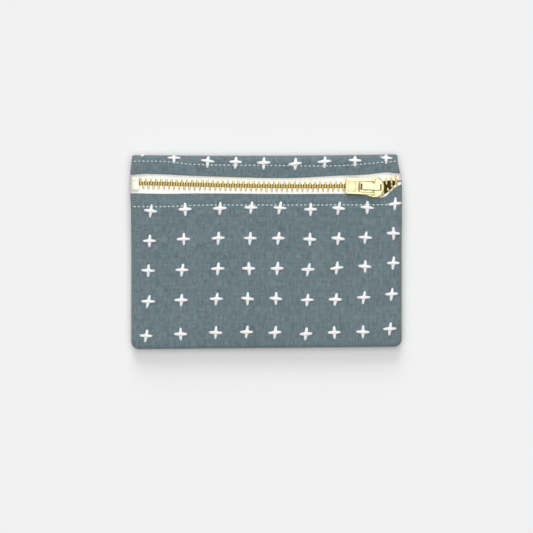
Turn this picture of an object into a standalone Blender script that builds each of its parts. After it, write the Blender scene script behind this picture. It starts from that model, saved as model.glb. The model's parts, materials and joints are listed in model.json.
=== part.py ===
"""A flat zippered pouch, lying on its back: the zip faces up and the pouch's top edge is towards +Y.

Two outer panels and two linings are sewn together round the sides and the bottom. The back panel wraps
over the top edge and comes down the front as far as the zip. The metal zip has two tapes, two rows of
teeth, end stops and a self-locking slider with a pull tab. The closed end of the zip is at +X.
"""

import math

import bmesh
import bpy
from mathutils import Matrix, Vector

MM = 0.001

# The pouch
HALF_WIDTH = 70 * MM
BOTTOM_Y = -50 * MM
TOP_Y = 50 * MM
LOFT = 9.4 * MM  # height of the front's outer face
FABRIC = 0.6 * MM
LINING = 0.4 * MM
CORNER_RADIUS = 6 * MM
MARGIN = 14 * MM  # width of the band in which a panel curves towards its seam
SEAM_INSET = 0.5 * MM
FRONT_RIM = 4.5 * MM  # outer face of the front panel at the seam, away from the zip
BACK_RIM = 2.7 * MM
ZIP_BACK_RIM = 5.2 * MM  # outer face of the back panel at the seam, beside the zip
ZIP_ZONE = (0.0, 14 * MM)  # the rims change from one height to the other between these two Y
TOP_FOLD_DEPTH = 4.8 * MM
TOP_TAPER = 1.5 * MM

# The hems beside the zip
CHAIN_Y = 33.4 * MM
CHAIN_Z = 7.6 * MM
HALF_GAP = 5.6 * MM  # from the chain's centre line to each hem's folded edge
HEM = 9.6 * MM
LAYER_DEPTH = 0.3 * MM  # middle of the outer layer, under the outer face
HEM_DEPTH = 1.1 * MM  # middle of the turned-under layer
TOPSTITCH_INSET = 5.4 * MM
THREAD_RADIUS = 0.15 * MM

# The zip
TAPE_END = 68.9 * MM
TAPE_WIDTH = 11 * MM
TAPE_THICKNESS = 0.5 * MM
TAPE_EDGE = 1.7 * MM  # from the chain's centre line to the tape's inner edge
PITCH = 2.65 * MM
TOOTH_THICKNESS = 1.05 * MM
TOOTH_TIP = -0.7 * MM  # how far a tooth's head reaches past the centre line
TOOTH_OUTER = 2.8 * MM
TOOTH_HALF_HEIGHT = 1.2 * MM
TOOTH_SLOT_HALF = 0.5 * MM  # half the slot in which a tooth grips the tape
CORD = (1.0 * MM, 1.4 * MM)  # the cord that carries the teeth, from the centre line
CORD_HALF_HEIGHT = 0.4 * MM
CHAIN_START = -65.1 * MM
CHAIN_END = 65.2 * MM
STOP_LENGTH = 2.9 * MM
TOP_STOP_LENGTH = 2.3 * MM
STOP_HALF_HEIGHT = 1.15 * MM

# The slider, measured from its hinge bar towards its nose at +X
HINGE_X = 55.3 * MM
NOSE = 5.5 * MM
TAIL = -7.5 * MM
TAIL_HALF = 4.3 * MM
NOSE_HALF = 5.25 * MM
PLATE = 1.0 * MM
CHANNEL_HALF_HEIGHT = 1.5 * MM
CHANNEL_TAIL = 3.15 * MM
CHANNEL_NOSE = 4.7 * MM
WEDGE_TIP = 1.2 * MM
WEDGE_HALF = 0.9 * MM
TAPE_SLOT_HALF = 0.6 * MM
SPREAD = 1.85 * MM  # how far the slider holds each row of teeth off the centre line
CROWN = (-6.9 * MM, 4.2 * MM)
CROWN_HALF_WIDTH = 2.0 * MM
CROWN_WALL = 0.8 * MM
CROWN_HEIGHT = 2.85 * MM
METAL_GAP = 0.1 * MM
PIN_X = -4.95 * MM
PIN_THICKNESS = 0.6 * MM
PIN_ROOT = 2.6 * MM  # the front end of the spring, which stays put
PIN_Y = (1.2 * MM, 1.9 * MM)
PIN_REACH = 0.45 * MM  # how far the pin stands in among the teeth
SPRING_THICKNESS = 0.25 * MM

# The pull tab
TAB_LENGTH = 14.5 * MM
TAB_HALF_WIDTH = 4.1 * MM
TAB_THICKNESS = 1.0 * MM
SLOT_LENGTH = 7.7 * MM
SLOT_HALF_WIDTH = 2.75 * MM
TAB_CORNER = 1.2 * MM

PLATE_TOP = CHAIN_Z + CHANNEL_HALF_HEIGHT + PLATE
HINGE_Z = PLATE_TOP + METAL_GAP + TAB_THICKNESS / 2


def clear_scene():
    for found in list(bpy.data.objects):
        bpy.data.objects.remove(found)


def material(name, colour, roughness, metallic=0.0):
    made = bpy.data.materials.new(name)
    made.use_nodes = True
    shader = made.node_tree.nodes["Principled BSDF"]
    shader.inputs["Base Color"].default_value = (*colour, 1)
    shader.inputs["Roughness"].default_value = roughness
    shader.inputs["Metallic"].default_value = metallic
    return made


def add_object(name, bm, finish, origin=(0, 0, 0)):
    """Links a bmesh, given in world coordinates, as an object whose origin is at the given point."""
    bmesh.ops.translate(bm, vec=-Vector(origin), verts=bm.verts)
    bmesh.ops.recalc_face_normals(bm, faces=bm.faces)
    mesh = bpy.data.meshes.new(name)
    bm.to_mesh(mesh)
    bm.free()
    made = bpy.data.objects.new(name, mesh)
    made.location = origin
    if finish:
        mesh.materials.append(finish)
    bpy.context.scene.collection.objects.link(made)
    return made


def thicken(obj, thickness):
    solidify = obj.modifiers.new("Thickness", "SOLIDIFY")
    solidify.thickness = thickness
    solidify.offset = 0
    solidify.use_even_offset = True


def boolean(obj, operation, bm, origin=(0, 0, 0)):
    """Cuts the bmesh from obj or joins it to obj, through a hidden helper object."""
    helper = add_object(f"{obj.name}_{operation.lower()}_{len(obj.modifiers)}", bm, None, origin)
    helper.hide_render = True
    helper.display_type = "WIRE"
    modifier = obj.modifiers.new(helper.name, "BOOLEAN")
    modifier.operation = operation
    modifier.object = helper


def smooth_round(obj):
    obj.data.shade_smooth()
    obj.data.set_sharp_from_angle(angle=math.radians(35))


def smoothstep(low, high, value):
    t = min(1.0, max(0.0, (value - low) / (high - low)))
    return t * t * (3 - 2 * t)


def mix(a, b, share):
    return a + (b - a) * share


# ---------------------------------------------------------------- the pouch's shape


def half_width(y):
    """Half the pouch's width at y: rounded bottom corners, and a slight taper towards the top fold."""
    below = min(CORNER_RADIUS, max(0.0, BOTTOM_Y + CORNER_RADIUS - y))
    corner = CORNER_RADIUS - math.sqrt(max(0.0, CORNER_RADIUS**2 - below**2))
    return HALF_WIDTH - corner - TOP_TAPER * smoothstep(TOP_Y - 12 * MM, TOP_Y, y)


def fullness(x, y):
    """0 at the side and bottom seams, 1 where the panel is flat."""
    across = min(1.0, max(0.0, (half_width(y) - abs(x)) / MARGIN))
    along = min(1.0, max(0.0, (y - BOTTOM_Y) / MARGIN))
    return (1 - (1 - across) ** 2) * (1 - (1 - along) ** 2)


def front_height(x, y):
    rim = mix(FRONT_RIM, LOFT, smoothstep(*ZIP_ZONE, y))
    return mix(rim, LOFT, fullness(x, y))


def back_height(x, y):
    rim = mix(BACK_RIM, ZIP_BACK_RIM, smoothstep(*ZIP_ZONE, y))
    return mix(rim, 0.0, fullness(x, y))


def stations(inset=0.0):
    """Places across the pouch, from -1 to 1, closer together in the curved margins."""
    half = [0.0, 0.5, 0.8, 0.86, 0.92, 0.965, 0.99, 1.0]
    half = [share * (1 - inset / HALF_WIDTH) for share in half]
    return [-share for share in reversed(half[1:])] + half


def lower_rows(inset=0.0):
    """Y places from the bottom seam up to the flat part, closer together at the rounded corners."""
    return [BOTTOM_Y + inset + up * MM for up in (0, 0.6, 1.8, 3.6, 6, 10, 14)]


def drape(name, across, along, place, thickness, finish):
    """A sheet whose vertices are placed by place(station, path entry), given its thickness."""
    bm = bmesh.new()
    columns, rows = len(across) - 1, len(along) - 1
    bmesh.ops.create_grid(bm, x_segments=columns, y_segments=rows, size=1)
    for vertex in bm.verts:
        column = round((vertex.co.x + 1) / 2 * columns)
        row = round((vertex.co.y + 1) / 2 * rows)
        vertex.co = place(across[column], along[row])
    sheet = add_object(name, bm, finish)
    thicken(sheet, thickness)
    return sheet


def hem_path(edge, inwards, depth_from=0.0):
    """(y, depth) entries that turn a panel's edge under and run back along its hem."""
    turn = (HEM_DEPTH - LAYER_DEPTH) / 2
    return [
        (edge + inwards * turn, LAYER_DEPTH + depth_from),
        (edge, LAYER_DEPTH + turn / 2 + depth_from),
        (edge, HEM_DEPTH - turn / 2 + depth_from),
        (edge + inwards * turn, HEM_DEPTH + depth_from),
    ]


def front_panel(finish):
    edge = CHAIN_Y - HALF_GAP
    along = [(y, LAYER_DEPTH) for y in lower_rows()]
    along += [(y * MM, LAYER_DEPTH) for y in (-18, 0, 5, 10, 14)]
    along += hem_path(edge, -1)
    along += [(edge - HEM, HEM_DEPTH)]

    def place(station, entry):
        y, depth = entry
        x = station * half_width(y)
        return Vector((x, y, front_height(x, y) - depth))

    return drape("front_panel", stations(), along, place, FABRIC, finish)


def back_panel(finish):
    """The back, the fold over the top edge, and the strip that comes down to the zip."""
    arc_y = TOP_Y - TOP_FOLD_DEPTH
    edge = CHAIN_Y + HALF_GAP
    along = [("back", y) for y in lower_rows()]
    along += [("back", y * MM) for y in (-18, 0, 5, 10, 14, 25, 38)]
    along += [("fold", math.radians(turn)) for turn in range(-90, 91, 20)]
    along += [("front", entry) for entry in hem_path(edge, 1)]
    along += [("front", (arc_y - 0.6 * MM, HEM_DEPTH))]

    def place(station, entry):
        part, at = entry
        if part == "back":
            x = station * half_width(at)
            return Vector((x, at, back_height(x, at) + LAYER_DEPTH))
        if part == "front":
            x = station * half_width(at[0])
            return Vector((x, at[0], LOFT - at[1]))
        y = arc_y + (TOP_FOLD_DEPTH - FABRIC / 2) * math.cos(at)
        x = station * half_width(y)
        low = back_height(x, y) + LAYER_DEPTH
        high = LOFT - LAYER_DEPTH
        return Vector((x, y, (low + high) / 2 + (high - low) / 2 * math.sin(at)))

    return drape("back_panel", stations(), along, place, FABRIC, finish)


LINING_INSET = 6 * MM
FRONT_LINING_DEPTH = 2.55 * MM
BACK_LINING_LIFT = FABRIC + 0.3 * MM + LINING / 2


def front_lining(finish):
    along = [y for y in lower_rows(4 * MM)]
    along += [y * MM for y in (-18, 0, 5, 10, 14)] + [CHAIN_Y - HALF_GAP]

    def place(station, y):
        x = station * half_width(y)
        return Vector((x, y, front_height(x, y) - FRONT_LINING_DEPTH))

    return drape("front_lining", stations(LINING_INSET), along, place, LINING, finish)


def back_lining(finish):
    """Lines the back and turns forwards under the upper tape."""
    arc_y, arc_depth = TOP_Y - 8 * MM, 3.5 * MM
    high = CHAIN_Z - TAPE_THICKNESS / 2 - 0.3 * MM - LINING / 2
    along = [("back", y) for y in lower_rows(4 * MM)]
    along += [("back", y * MM) for y in (-18, 0, 5, 10, 14, 25, 38)]
    along += [("turn", math.radians(turn)) for turn in range(-90, 91, 30)]
    along += [("front", CHAIN_Y + HALF_GAP + 0.2 * MM)]

    def place(station, entry):
        part, at = entry
        if part == "turn":
            y = arc_y + arc_depth * math.cos(at)
        else:
            y = at
        x = station * half_width(y)
        low = back_height(x, y) + BACK_LINING_LIFT
        if part == "back":
            return Vector((x, y, low))
        if part == "front":
            return Vector((x, y, high))
        return Vector((x, y, (low + high) / 2 + (high - low) / 2 * math.sin(at)))

    return drape("back_lining", stations(LINING_INSET), along, place, LINING, finish)


# ---------------------------------------------------------------- threads


def thread(name, points, finish):
    curve = bpy.data.curves.new(name, "CURVE")
    curve.dimensions = "3D"
    curve.bevel_depth = THREAD_RADIUS
    curve.bevel_resolution = 0
    curve.use_fill_caps = True
    spline = curve.splines.new("POLY")
    spline.points.add(len(points) - 1)
    for point, place in zip(spline.points, points):
        point.co = (*place, 1)
    curve.materials.append(finish)
    made = bpy.data.objects.new(name, curve)
    bpy.context.scene.collection.objects.link(made)
    return made


def topstitches(finish):
    end = HALF_WIDTH - 1.2 * MM
    z = LOFT + THREAD_RADIUS + 0.05 * MM
    for name, side in (("lower_topstitch", -1), ("upper_topstitch", 1)):
        y = CHAIN_Y + side * (HALF_GAP + TOPSTITCH_INSET)
        thread(name, [(-end, y, z), (end, y, z)], finish)


def seam_point(x, y):
    """A point midway between the two panels' inner faces."""
    top = front_height(x, y) - FABRIC
    bottom = back_height(x, y) + FABRIC
    return (x, y, (top + bottom) / 2)


def seams(finish):
    """Side seams run from the bottom corners to the top fold; the bottom seam joins them."""
    upper = TOP_Y - TOP_FOLD_DEPTH - 1.5 * MM
    corner = BOTTOM_Y + CORNER_RADIUS
    rows = [mix(corner, upper, step / 16) for step in range(17)]
    for name, side in (("left_side_seam", -1), ("right_side_seam", 1)):
        points = [seam_point(side * (half_width(y) - SEAM_INSET), y) for y in rows]
        thread(name, points, finish)
    low = BOTTOM_Y + SEAM_INSET
    reach = half_width(low) - 2 * SEAM_INSET
    columns = [mix(-reach, reach, step / 4) for step in range(5)]
    thread("bottom_seam", [seam_point(x, low) for x in columns], finish)


# ---------------------------------------------------------------- the zip's tapes and teeth


def spread(x):
    """How far each row of teeth is held off the chain's centre line at x, by the slider at rest."""
    opening = smoothstep(HINGE_X - 1.5 * MM, HINGE_X + 1.8 * MM, x)
    closing = smoothstep(HINGE_X + NOSE + 1.0 * MM, TAPE_END, x)
    return SPREAD * opening * (1 - 0.65 * closing)


def zip_stations():
    plain = [-TAPE_END, HINGE_X - 1.5 * MM]
    last = int((TAPE_END - HINGE_X) / MM)
    return plain + [HINGE_X + (step - 0.5) * MM for step in range(last)] + [TAPE_END]


def tape(name, side, finish):
    def place(x, at):
        out = TAPE_EDGE + spread(x) if at == "edge" else TAPE_EDGE + TAPE_WIDTH
        return Vector((x, CHAIN_Y + side * out, CHAIN_Z))

    return drape(name, zip_stations(), ["edge", "outside"], place, TAPE_THICKNESS, finish)


def extrude_outline(bm, outline, vector):
    """Adds a closed prism: the outline's face and its extrusion along vector."""
    face = bm.faces.new([bm.verts.new(point) for point in outline])
    made = bmesh.ops.extrude_face_region(bm, geom=[face])
    moved = [item for item in made["geom"] if isinstance(item, bmesh.types.BMVert)]
    bmesh.ops.translate(bm, vec=Vector(vector), verts=moved)


def clamp_outline(x, side, tip, slot_end, outer, half_height, shift=0.0):
    """A U in the YZ plane whose legs grip the tape's edge, above and below."""
    points = [
        (tip, -half_height),
        (outer, -half_height),
        (outer, -TOOTH_SLOT_HALF),
        (slot_end, -TOOTH_SLOT_HALF),
        (slot_end, TOOTH_SLOT_HALF),
        (outer, TOOTH_SLOT_HALF),
        (outer, half_height),
        (tip, half_height),
    ]
    return [(x, CHAIN_Y + side * (y + shift), CHAIN_Z + z) for y, z in points]


def teeth_row(name, side, first, finish):
    """One row of teeth on its cord, as one body."""
    bm = bmesh.new()
    x = first
    while x < CHAIN_END:
        outline = clamp_outline(
            x - TOOTH_THICKNESS / 2, side, TOOTH_TIP, CORD[1], TOOTH_OUTER, TOOTH_HALF_HEIGHT, spread(x)
        )
        extrude_outline(bm, outline, (TOOTH_THICKNESS, 0, 0))
        x += PITCH
    row = add_object(name, bm, finish)

    cord = bmesh.new()
    last = x - PITCH
    ends = [first] + [at for at in zip_stations() if first < at < last - 0.2 * MM] + [last]
    loops = []
    for end in ends:
        corners = [
            (CORD[0], -CORD_HALF_HEIGHT),
            (CORD[1], -CORD_HALF_HEIGHT),
            (CORD[1], CORD_HALF_HEIGHT),
            (CORD[0], CORD_HALF_HEIGHT),
        ]
        loops.append(
            [cord.verts.new((end, CHAIN_Y + side * (y + spread(end)), CHAIN_Z + z)) for y, z in corners]
        )
    for near, far in zip(loops, loops[1:]):
        for at in range(4):
            after = (at + 1) % 4
            cord.faces.new((near[at], near[after], far[after], far[at]))
    cord.faces.new(loops[0])
    cord.faces.new(loops[-1])
    boolean(row, "UNION", cord)
    return row


def tooth_phase():
    """X of the first upper tooth, chosen so that the lock pin stands midway between two teeth."""
    pin = HINGE_X + PIN_X
    steps = math.floor((pin - PITCH / 2 - CHAIN_START) / PITCH)
    return pin - PITCH / 2 - steps * PITCH


def stops(finish):
    """One stop joins both tapes at the open end, and each tape has its own at the closed end."""
    bm = bmesh.new()
    web = TAPE_EDGE - 0.3 * MM
    plate = TOOTH_OUTER + 0.4 * MM
    quarter = [
        (web, 0.0),
        (web, TOOTH_SLOT_HALF),
        (plate, TOOTH_SLOT_HALF),
        (plate, STOP_HALF_HEIGHT),
    ]
    right = [(y, -z) for y, z in reversed(quarter)] + quarter[1:]
    ring = right + [(-y, -z) for y, z in right]
    outline = [(-TAPE_END + 0.1 * MM, CHAIN_Y + y, CHAIN_Z + z) for y, z in ring]
    extrude_outline(bm, outline, (STOP_LENGTH, 0, 0))
    add_object("bottom_stop", bm, finish)
    start = CHAIN_END + 0.7 * MM
    shift = spread(start + TOP_STOP_LENGTH)
    for name, side in (("lower_top_stop", -1), ("upper_top_stop", 1)):
        bm = bmesh.new()
        outline = clamp_outline(start, side, CORD[0], CORD[1], TOOTH_OUTER, STOP_HALF_HEIGHT, shift)
        extrude_outline(bm, outline, (TOP_STOP_LENGTH, 0, 0))
        add_object(name, bm, finish)


# ---------------------------------------------------------------- the slider


def slider_outline():
    """The slider's plan: a straight tail that widens to rounded shoulders at the nose."""
    side = [(TAIL, TAIL_HALF - 0.8 * MM), (TAIL + 0.8 * MM, TAIL_HALF), (-3.6 * MM, TAIL_HALF)]
    side += [(0.4 * MM, NOSE_HALF)]
    shoulder = Vector((NOSE - 4.2 * MM, 0))
    for turn in range(80, 9, -14):
        angle = math.radians(turn)
        side.append((shoulder.x + 4.2 * MM * math.cos(angle), NOSE_HALF * math.sin(angle)))
    mirrored = [(x, -y) for x, y in reversed(side)]
    return side + mirrored


def plan(outline, low, high):
    """A prism on an outline given from the hinge bar and the chain's centre line."""
    bm = bmesh.new()
    points = [(HINGE_X + x, CHAIN_Y + y, low) for x, y in outline]
    extrude_outline(bm, points, (0, 0, high - low))
    return bm


def slider_body(finish):
    origin = (HINGE_X, CHAIN_Y, CHAIN_Z)
    low = CHAIN_Z - CHANNEL_HALF_HEIGHT - PLATE
    body = add_object("slider_body", plan(slider_outline(), low, PLATE_TOP), finish, origin)
    bevel = body.modifiers.new("Rounded", "BEVEL")
    bevel.width = 0.3 * MM
    bevel.segments = 2
    bevel.limit_method = "ANGLE"
    bevel.angle_limit = math.radians(50)
    past = 1.5 * MM
    slot_inner, slot_outer = 2.2 * MM, 8 * MM
    for side in (-1, 1):
        channel = [
            (TAIL - past, -0.4 * MM),
            (TAIL - past, CHANNEL_TAIL),
            (-2.6 * MM, CHANNEL_TAIL),
            (0.3 * MM, CHANNEL_NOSE),
            (NOSE + past, CHANNEL_NOSE),
            (NOSE + past, WEDGE_HALF),
            (WEDGE_TIP + 1.6 * MM, WEDGE_HALF),
            (WEDGE_TIP, -0.4 * MM),
        ]
        cutter = plan(
            [(x, side * y) for x, y in channel],
            CHAIN_Z - CHANNEL_HALF_HEIGHT,
            CHAIN_Z + CHANNEL_HALF_HEIGHT,
        )
        boolean(body, "DIFFERENCE", cutter)
        slot = [(TAIL - past, slot_inner), (NOSE + past, slot_inner)]
        slot += [(NOSE + past, slot_outer), (TAIL - past, slot_outer)]
        cutter = plan([(x, side * y) for x, y in slot], CHAIN_Z - TAPE_SLOT_HALF, CHAIN_Z + TAPE_SLOT_HALF)
        boolean(body, "DIFFERENCE", cutter)
    room = 0.25 * MM
    hole_x = (PIN_X - PIN_THICKNESS / 2 - room, PIN_X + PIN_THICKNESS / 2 + room)
    hole_y = (PIN_Y[0] - room, PIN_Y[1] + room)
    hole = [(x, y) for x, y in zip((*hole_x, *reversed(hole_x)), (hole_y[0],) * 2 + (hole_y[1],) * 2)]
    boolean(body, "DIFFERENCE", plan(hole, PLATE_TOP - PLATE - 0.5 * MM, PLATE_TOP + 0.5 * MM))
    smooth_round(body)
    return body


def side_profile(points, half_width_y, centre_y=CHAIN_Y):
    """A prism on a side view, (x from the hinge bar, z), centred on centre_y."""
    bm = bmesh.new()
    outline = [(HINGE_X + x, centre_y - half_width_y, z) for x, z in points]
    extrude_outline(bm, outline, (0, 2 * half_width_y, 0))
    return bm


def slider_crown(finish):
    """The bridge over the pull tab's bar, standing on the slider's top plate."""
    rear, front = CROWN
    foot = PLATE_TOP + METAL_GAP
    top = PLATE_TOP + CROWN_HEIGHT
    curve = 1.1 * MM
    outer = [(rear, foot)]
    for turn in range(180, 89, -30):
        angle = math.radians(turn)
        outer.append((rear + curve + curve * math.cos(angle), top - curve + curve * math.sin(angle)))
    for turn in range(90, -1, -30):
        angle = math.radians(turn)
        outer.append((front - curve + curve * math.cos(angle), top - curve + curve * math.sin(angle)))
    outer.append((front, foot))
    under = top - CROWN_WALL
    chamfer = 0.4 * MM
    inner = [
        (front - CROWN_WALL, foot),
        (front - CROWN_WALL, under - chamfer),
        (front - CROWN_WALL - chamfer, under),
        (rear + CROWN_WALL + chamfer, under),
        (rear + CROWN_WALL, under - chamfer),
        (rear + CROWN_WALL, foot),
    ]
    bm = side_profile(outer + inner, CROWN_HALF_WIDTH)
    crown = add_object("slider_crown", bm, finish, (HINGE_X, CHAIN_Y, PLATE_TOP))
    bevel = crown.modifiers.new("Rounded", "BEVEL")
    bevel.width = 0.2 * MM
    bevel.segments = 1
    bevel.limit_method = "ANGLE"
    bevel.angle_limit = math.radians(60)
    smooth_round(crown)
    return crown


def lock_pin(finish):
    """A flat spring over the pull tab's bar, with a pin that stands down between two teeth."""
    under = HINGE_Z + TAB_THICKNESS / 2 + METAL_GAP
    over = under + SPRING_THICKNESS
    tip = CHAIN_Z + TOOTH_HALF_HEIGHT - PIN_REACH
    rear = PIN_X - PIN_THICKNESS / 2
    leaf = [(rear, under), (PIN_ROOT, under), (PIN_ROOT, over), (rear, over)]
    centre = (PIN_Y[0] + PIN_Y[1]) / 2
    reach = (PIN_Y[1] - PIN_Y[0]) / 2
    front, inside = rear + PIN_THICKNESS, over - 0.05 * MM
    pin = [(rear, tip), (front, tip), (front, inside), (rear, inside)]
    pivot = (HINGE_X + PIN_ROOT, CHAIN_Y, under)
    made = add_object("lock_pin", side_profile(leaf, PIN_Y[1]), finish, pivot)
    boolean(made, "UNION", side_profile(pin, reach, CHAIN_Y + centre))
    return made


def tab_outline():
    """The tab's plan from its far end to the hinge bar, with rounded far corners."""
    far = -TAB_LENGTH
    corner = []
    for turn in (180, 150, 120, 90):
        angle = math.radians(turn)
        x = far + TAB_CORNER * (1 + math.cos(angle))
        corner.append((x, TAB_HALF_WIDTH - TAB_CORNER * (1 - math.sin(angle))))
    side = corner + [(0.0, TAB_HALF_WIDTH)]
    return side + [(x, -y) for x, y in reversed(side)]


def pull_tab(finish):
    """A slotted plate hinged on its own bar, lying flat over the slider and the closed teeth."""
    low, high = HINGE_Z - TAB_THICKNESS / 2, HINGE_Z + TAB_THICKNESS / 2
    hinge = (HINGE_X, CHAIN_Y, HINGE_Z)
    tab = add_object("pull_tab", plan(tab_outline(), low, high), finish, hinge)
    slot = [
        (-SLOT_LENGTH, -SLOT_HALF_WIDTH),
        (1 * MM, -SLOT_HALF_WIDTH),
        (1 * MM, SLOT_HALF_WIDTH),
        (-SLOT_LENGTH, SLOT_HALF_WIDTH),
    ]
    boolean(tab, "DIFFERENCE", plan(slot, low - 1 * MM, high + 1 * MM))
    bar = bmesh.new()
    along_y = Matrix.Translation(hinge) @ Matrix.Rotation(math.radians(90), 4, "X")
    bmesh.ops.create_cone(
        bar,
        cap_ends=True,
        segments=16,
        radius1=TAB_THICKNESS / 2,
        radius2=TAB_THICKNESS / 2,
        depth=2 * TAB_HALF_WIDTH - 0.1 * MM,
        matrix=along_y,
    )
    boolean(tab, "UNION", bar)
    smooth_round(tab)
    return tab


def main():
    clear_scene()
    cloth = material("slate_twill", (0.15, 0.21, 0.23), 0.9)
    lining = material("lining_cotton", (0.17, 0.11, 0.045), 0.9)
    tape_cloth = material("zip_tape", (0.9, 0.89, 0.85), 0.85)
    brass = material("brass", (0.88, 0.66, 0.28), 0.25, 1.0)
    steel = material("spring_steel", (0.6, 0.6, 0.6), 0.35, 1.0)
    cotton_thread = material("sewing_thread", (0.5, 0.58, 0.58), 0.8)

    front_panel(cloth)
    back_panel(cloth)
    front_lining(lining)
    back_lining(lining)
    topstitches(cotton_thread)
    seams(cotton_thread)
    tape("lower_tape", -1, tape_cloth)
    tape("upper_tape", 1, tape_cloth)
    first = tooth_phase()
    teeth_row("upper_teeth", 1, first, brass)
    teeth_row("lower_teeth", -1, first + PITCH / 2, brass)
    stops(brass)
    slider_body(brass)
    slider_crown(brass)
    lock_pin(steel)
    pull_tab(brass)


main()
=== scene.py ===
"""The looks of a flat cloth pouch with a metal zip: embroidered twill, woven tape, brass and thread."""

import json
import math
import random

import bmesh
import bpy
from mathutils import Matrix, Vector, noise


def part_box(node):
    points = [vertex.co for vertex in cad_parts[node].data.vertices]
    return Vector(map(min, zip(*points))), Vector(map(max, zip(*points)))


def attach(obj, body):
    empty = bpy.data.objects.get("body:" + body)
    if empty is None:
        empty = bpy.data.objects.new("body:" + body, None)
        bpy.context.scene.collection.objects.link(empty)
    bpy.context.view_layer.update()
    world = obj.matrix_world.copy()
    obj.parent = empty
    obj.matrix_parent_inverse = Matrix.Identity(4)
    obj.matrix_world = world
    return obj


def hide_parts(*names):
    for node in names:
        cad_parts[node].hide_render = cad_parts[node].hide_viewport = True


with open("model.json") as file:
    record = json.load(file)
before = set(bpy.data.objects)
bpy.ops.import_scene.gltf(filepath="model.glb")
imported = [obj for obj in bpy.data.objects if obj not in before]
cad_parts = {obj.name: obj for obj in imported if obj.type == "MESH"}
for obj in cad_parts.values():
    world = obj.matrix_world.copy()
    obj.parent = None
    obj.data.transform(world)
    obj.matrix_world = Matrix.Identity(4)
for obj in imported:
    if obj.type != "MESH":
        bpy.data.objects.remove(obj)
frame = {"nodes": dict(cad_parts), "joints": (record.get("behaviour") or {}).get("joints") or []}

bl_info = {
    "name": "Zippered Pouch",
    "version": (1, 0, 0),
    "blender": (4, 5, 0),
    "location": "3D View > Sidebar > Pouch",
    "description": "Makes the cloth, zip, stitches and embroidery of a flat pouch around its frame",
    "category": "Object",
}

MM = 0.001


def joint_place(name):
    """The place in the frame of a joint's axis."""
    return next(Vector(joint["pos_m"]) for joint in frame["joints"] if joint["name"] == name)


HINGE = joint_place("pull_hinge")
BODY_LOW, BODY_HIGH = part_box("slider_body")
CHAIN_Z = (BODY_LOW.z + BODY_HIGH.z) / 2
PLATE_TOP = BODY_HIGH.z
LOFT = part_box("back_panel")[1].z
FIRST_UPPER_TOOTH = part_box("upper_teeth")[0].x
FIRST_LOWER_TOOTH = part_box("lower_teeth")[0].x

# The pouch's outline and seams
HALF_WIDTH = 70 * MM
CORNER = 4.2 * MM
TOP_CORNER = 2.2 * MM
FOLD = 4.2 * MM  # radius of the fold over the top edge
FOLD_ARC = 13.6 * MM
SEAM_HALF = 0.9 * MM  # half the pouch's thickness at its side seams
SEAM_TUCK = 1.6 * MM
HEM_DEPTH = 0.75 * MM
HEM_RADIUS = 0.45 * MM
HEM_WIDTH = 7.5 * MM
HEM_HEIGHT = LOFT - 0.75 * MM
BACK_REST = 0.7 * MM  # the back cloth lies on its crosses
SOFT_EDGE = 1.5 * MM
SOFT_MARGIN = 16 * MM

# Curves across the pouch, as (x, y) in millimetres
LOWER_HEM = (
    (-70, 30.2), (-50, 29.95), (-34, 30.15), (10, 29.85), (42, 29.9), (54, 29.1), (59.5, 27.9),
    (61.5, 28.7), (63.8, 30.8), (65.4, 32.4), (67, 33.6), (70, 35.2),
)
UPPER_HEM = (
    (-70, 39.7), (-62, 40.3), (-34, 39.1), (10, 38.1), (36, 39.3), (52, 39.9), (61, 41.0),
    (66, 40.8), (70, 40.2),
)
LOWER_STITCHES = (
    (-70, 23.3), (-52, 23.3), (-34, 24.0), (10, 24.1), (60, 24.3), (70, 24.8),
)
UPPER_STITCHES = (
    (-70, 46.7), (-52, 46.5), (-38, 45.1), (0, 44.6), (34, 44.3), (45, 44.9), (57, 46.0),
    (70, 46.9),
)
CHAIN = (
    (-70, 35.2), (-62, 35.3), (-34, 34.6), (0, 33.9), (30, 33.8), (42, 33.9), (50, 33.7),
    (56, 33.4),
)
UPPER_OPEN = (
    (54, 33.4), (57, 34.1), (59, 34.9), (61, 35.5), (64, 35.9), (67, 36.5), (70, 37.0),
)
LOWER_OPEN = (
    (54, 33.4), (57, 32.2), (59, 31.0), (60.7, 30.6), (62.3, 31.4), (63.8, 32.6), (65.7, 34.2),
    (67.5, 35.4), (70, 36.2),
)
OPEN_FROM = 54 * MM

# The zip
PITCH = 2.65 * MM
TOOTH_HALF = 0.5 * MM
HEAD_HALF = 0.6 * MM
TOOTH_TIP = -1.0 * MM
TOOTH_OUTER = 2.65 * MM
TOOTH_HALF_HEIGHT = 1.05 * MM
BEAD = 1.4 * MM  # from a row's line to the middle of its tape's woven bead
BEAD_RADIUS = 0.55 * MM
ZIP_END = 70 * MM
TAPE_THICKNESS = 0.45 * MM
SLIDER_TURN = math.radians(-2.6)

# The embroidery, as millimetres across and up the pouch
COLUMNS = (-59.6, -42.1, -24.1, -8.0, 6.7, 22.9, 37.5, 51.8, 66.3)
COLUMN_LIFT = (-1.3, -0.7, 0.0, 0.1, 0.0, -0.7, -0.1, 0.6, 2.3)
ROWS = (22.5, 7.0, -8.4, -24.3, -41.8)
LEAN = 2.3 / 64.3  # how far the columns lean to the left for each step down
STRIP_COLUMNS = (-63.8, -47.8, -30.3, -15.9, -1.4, 14.9, 30.1, 45.7, 61.8)
STRIP_LIFT = (50.7, 48.5, 46.9, 46.4, 46.0, 45.5, 46.6, 47.2, 48.5)
BACK_ROW_STEP = 16.2
BACK_ROWS = 6


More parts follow.
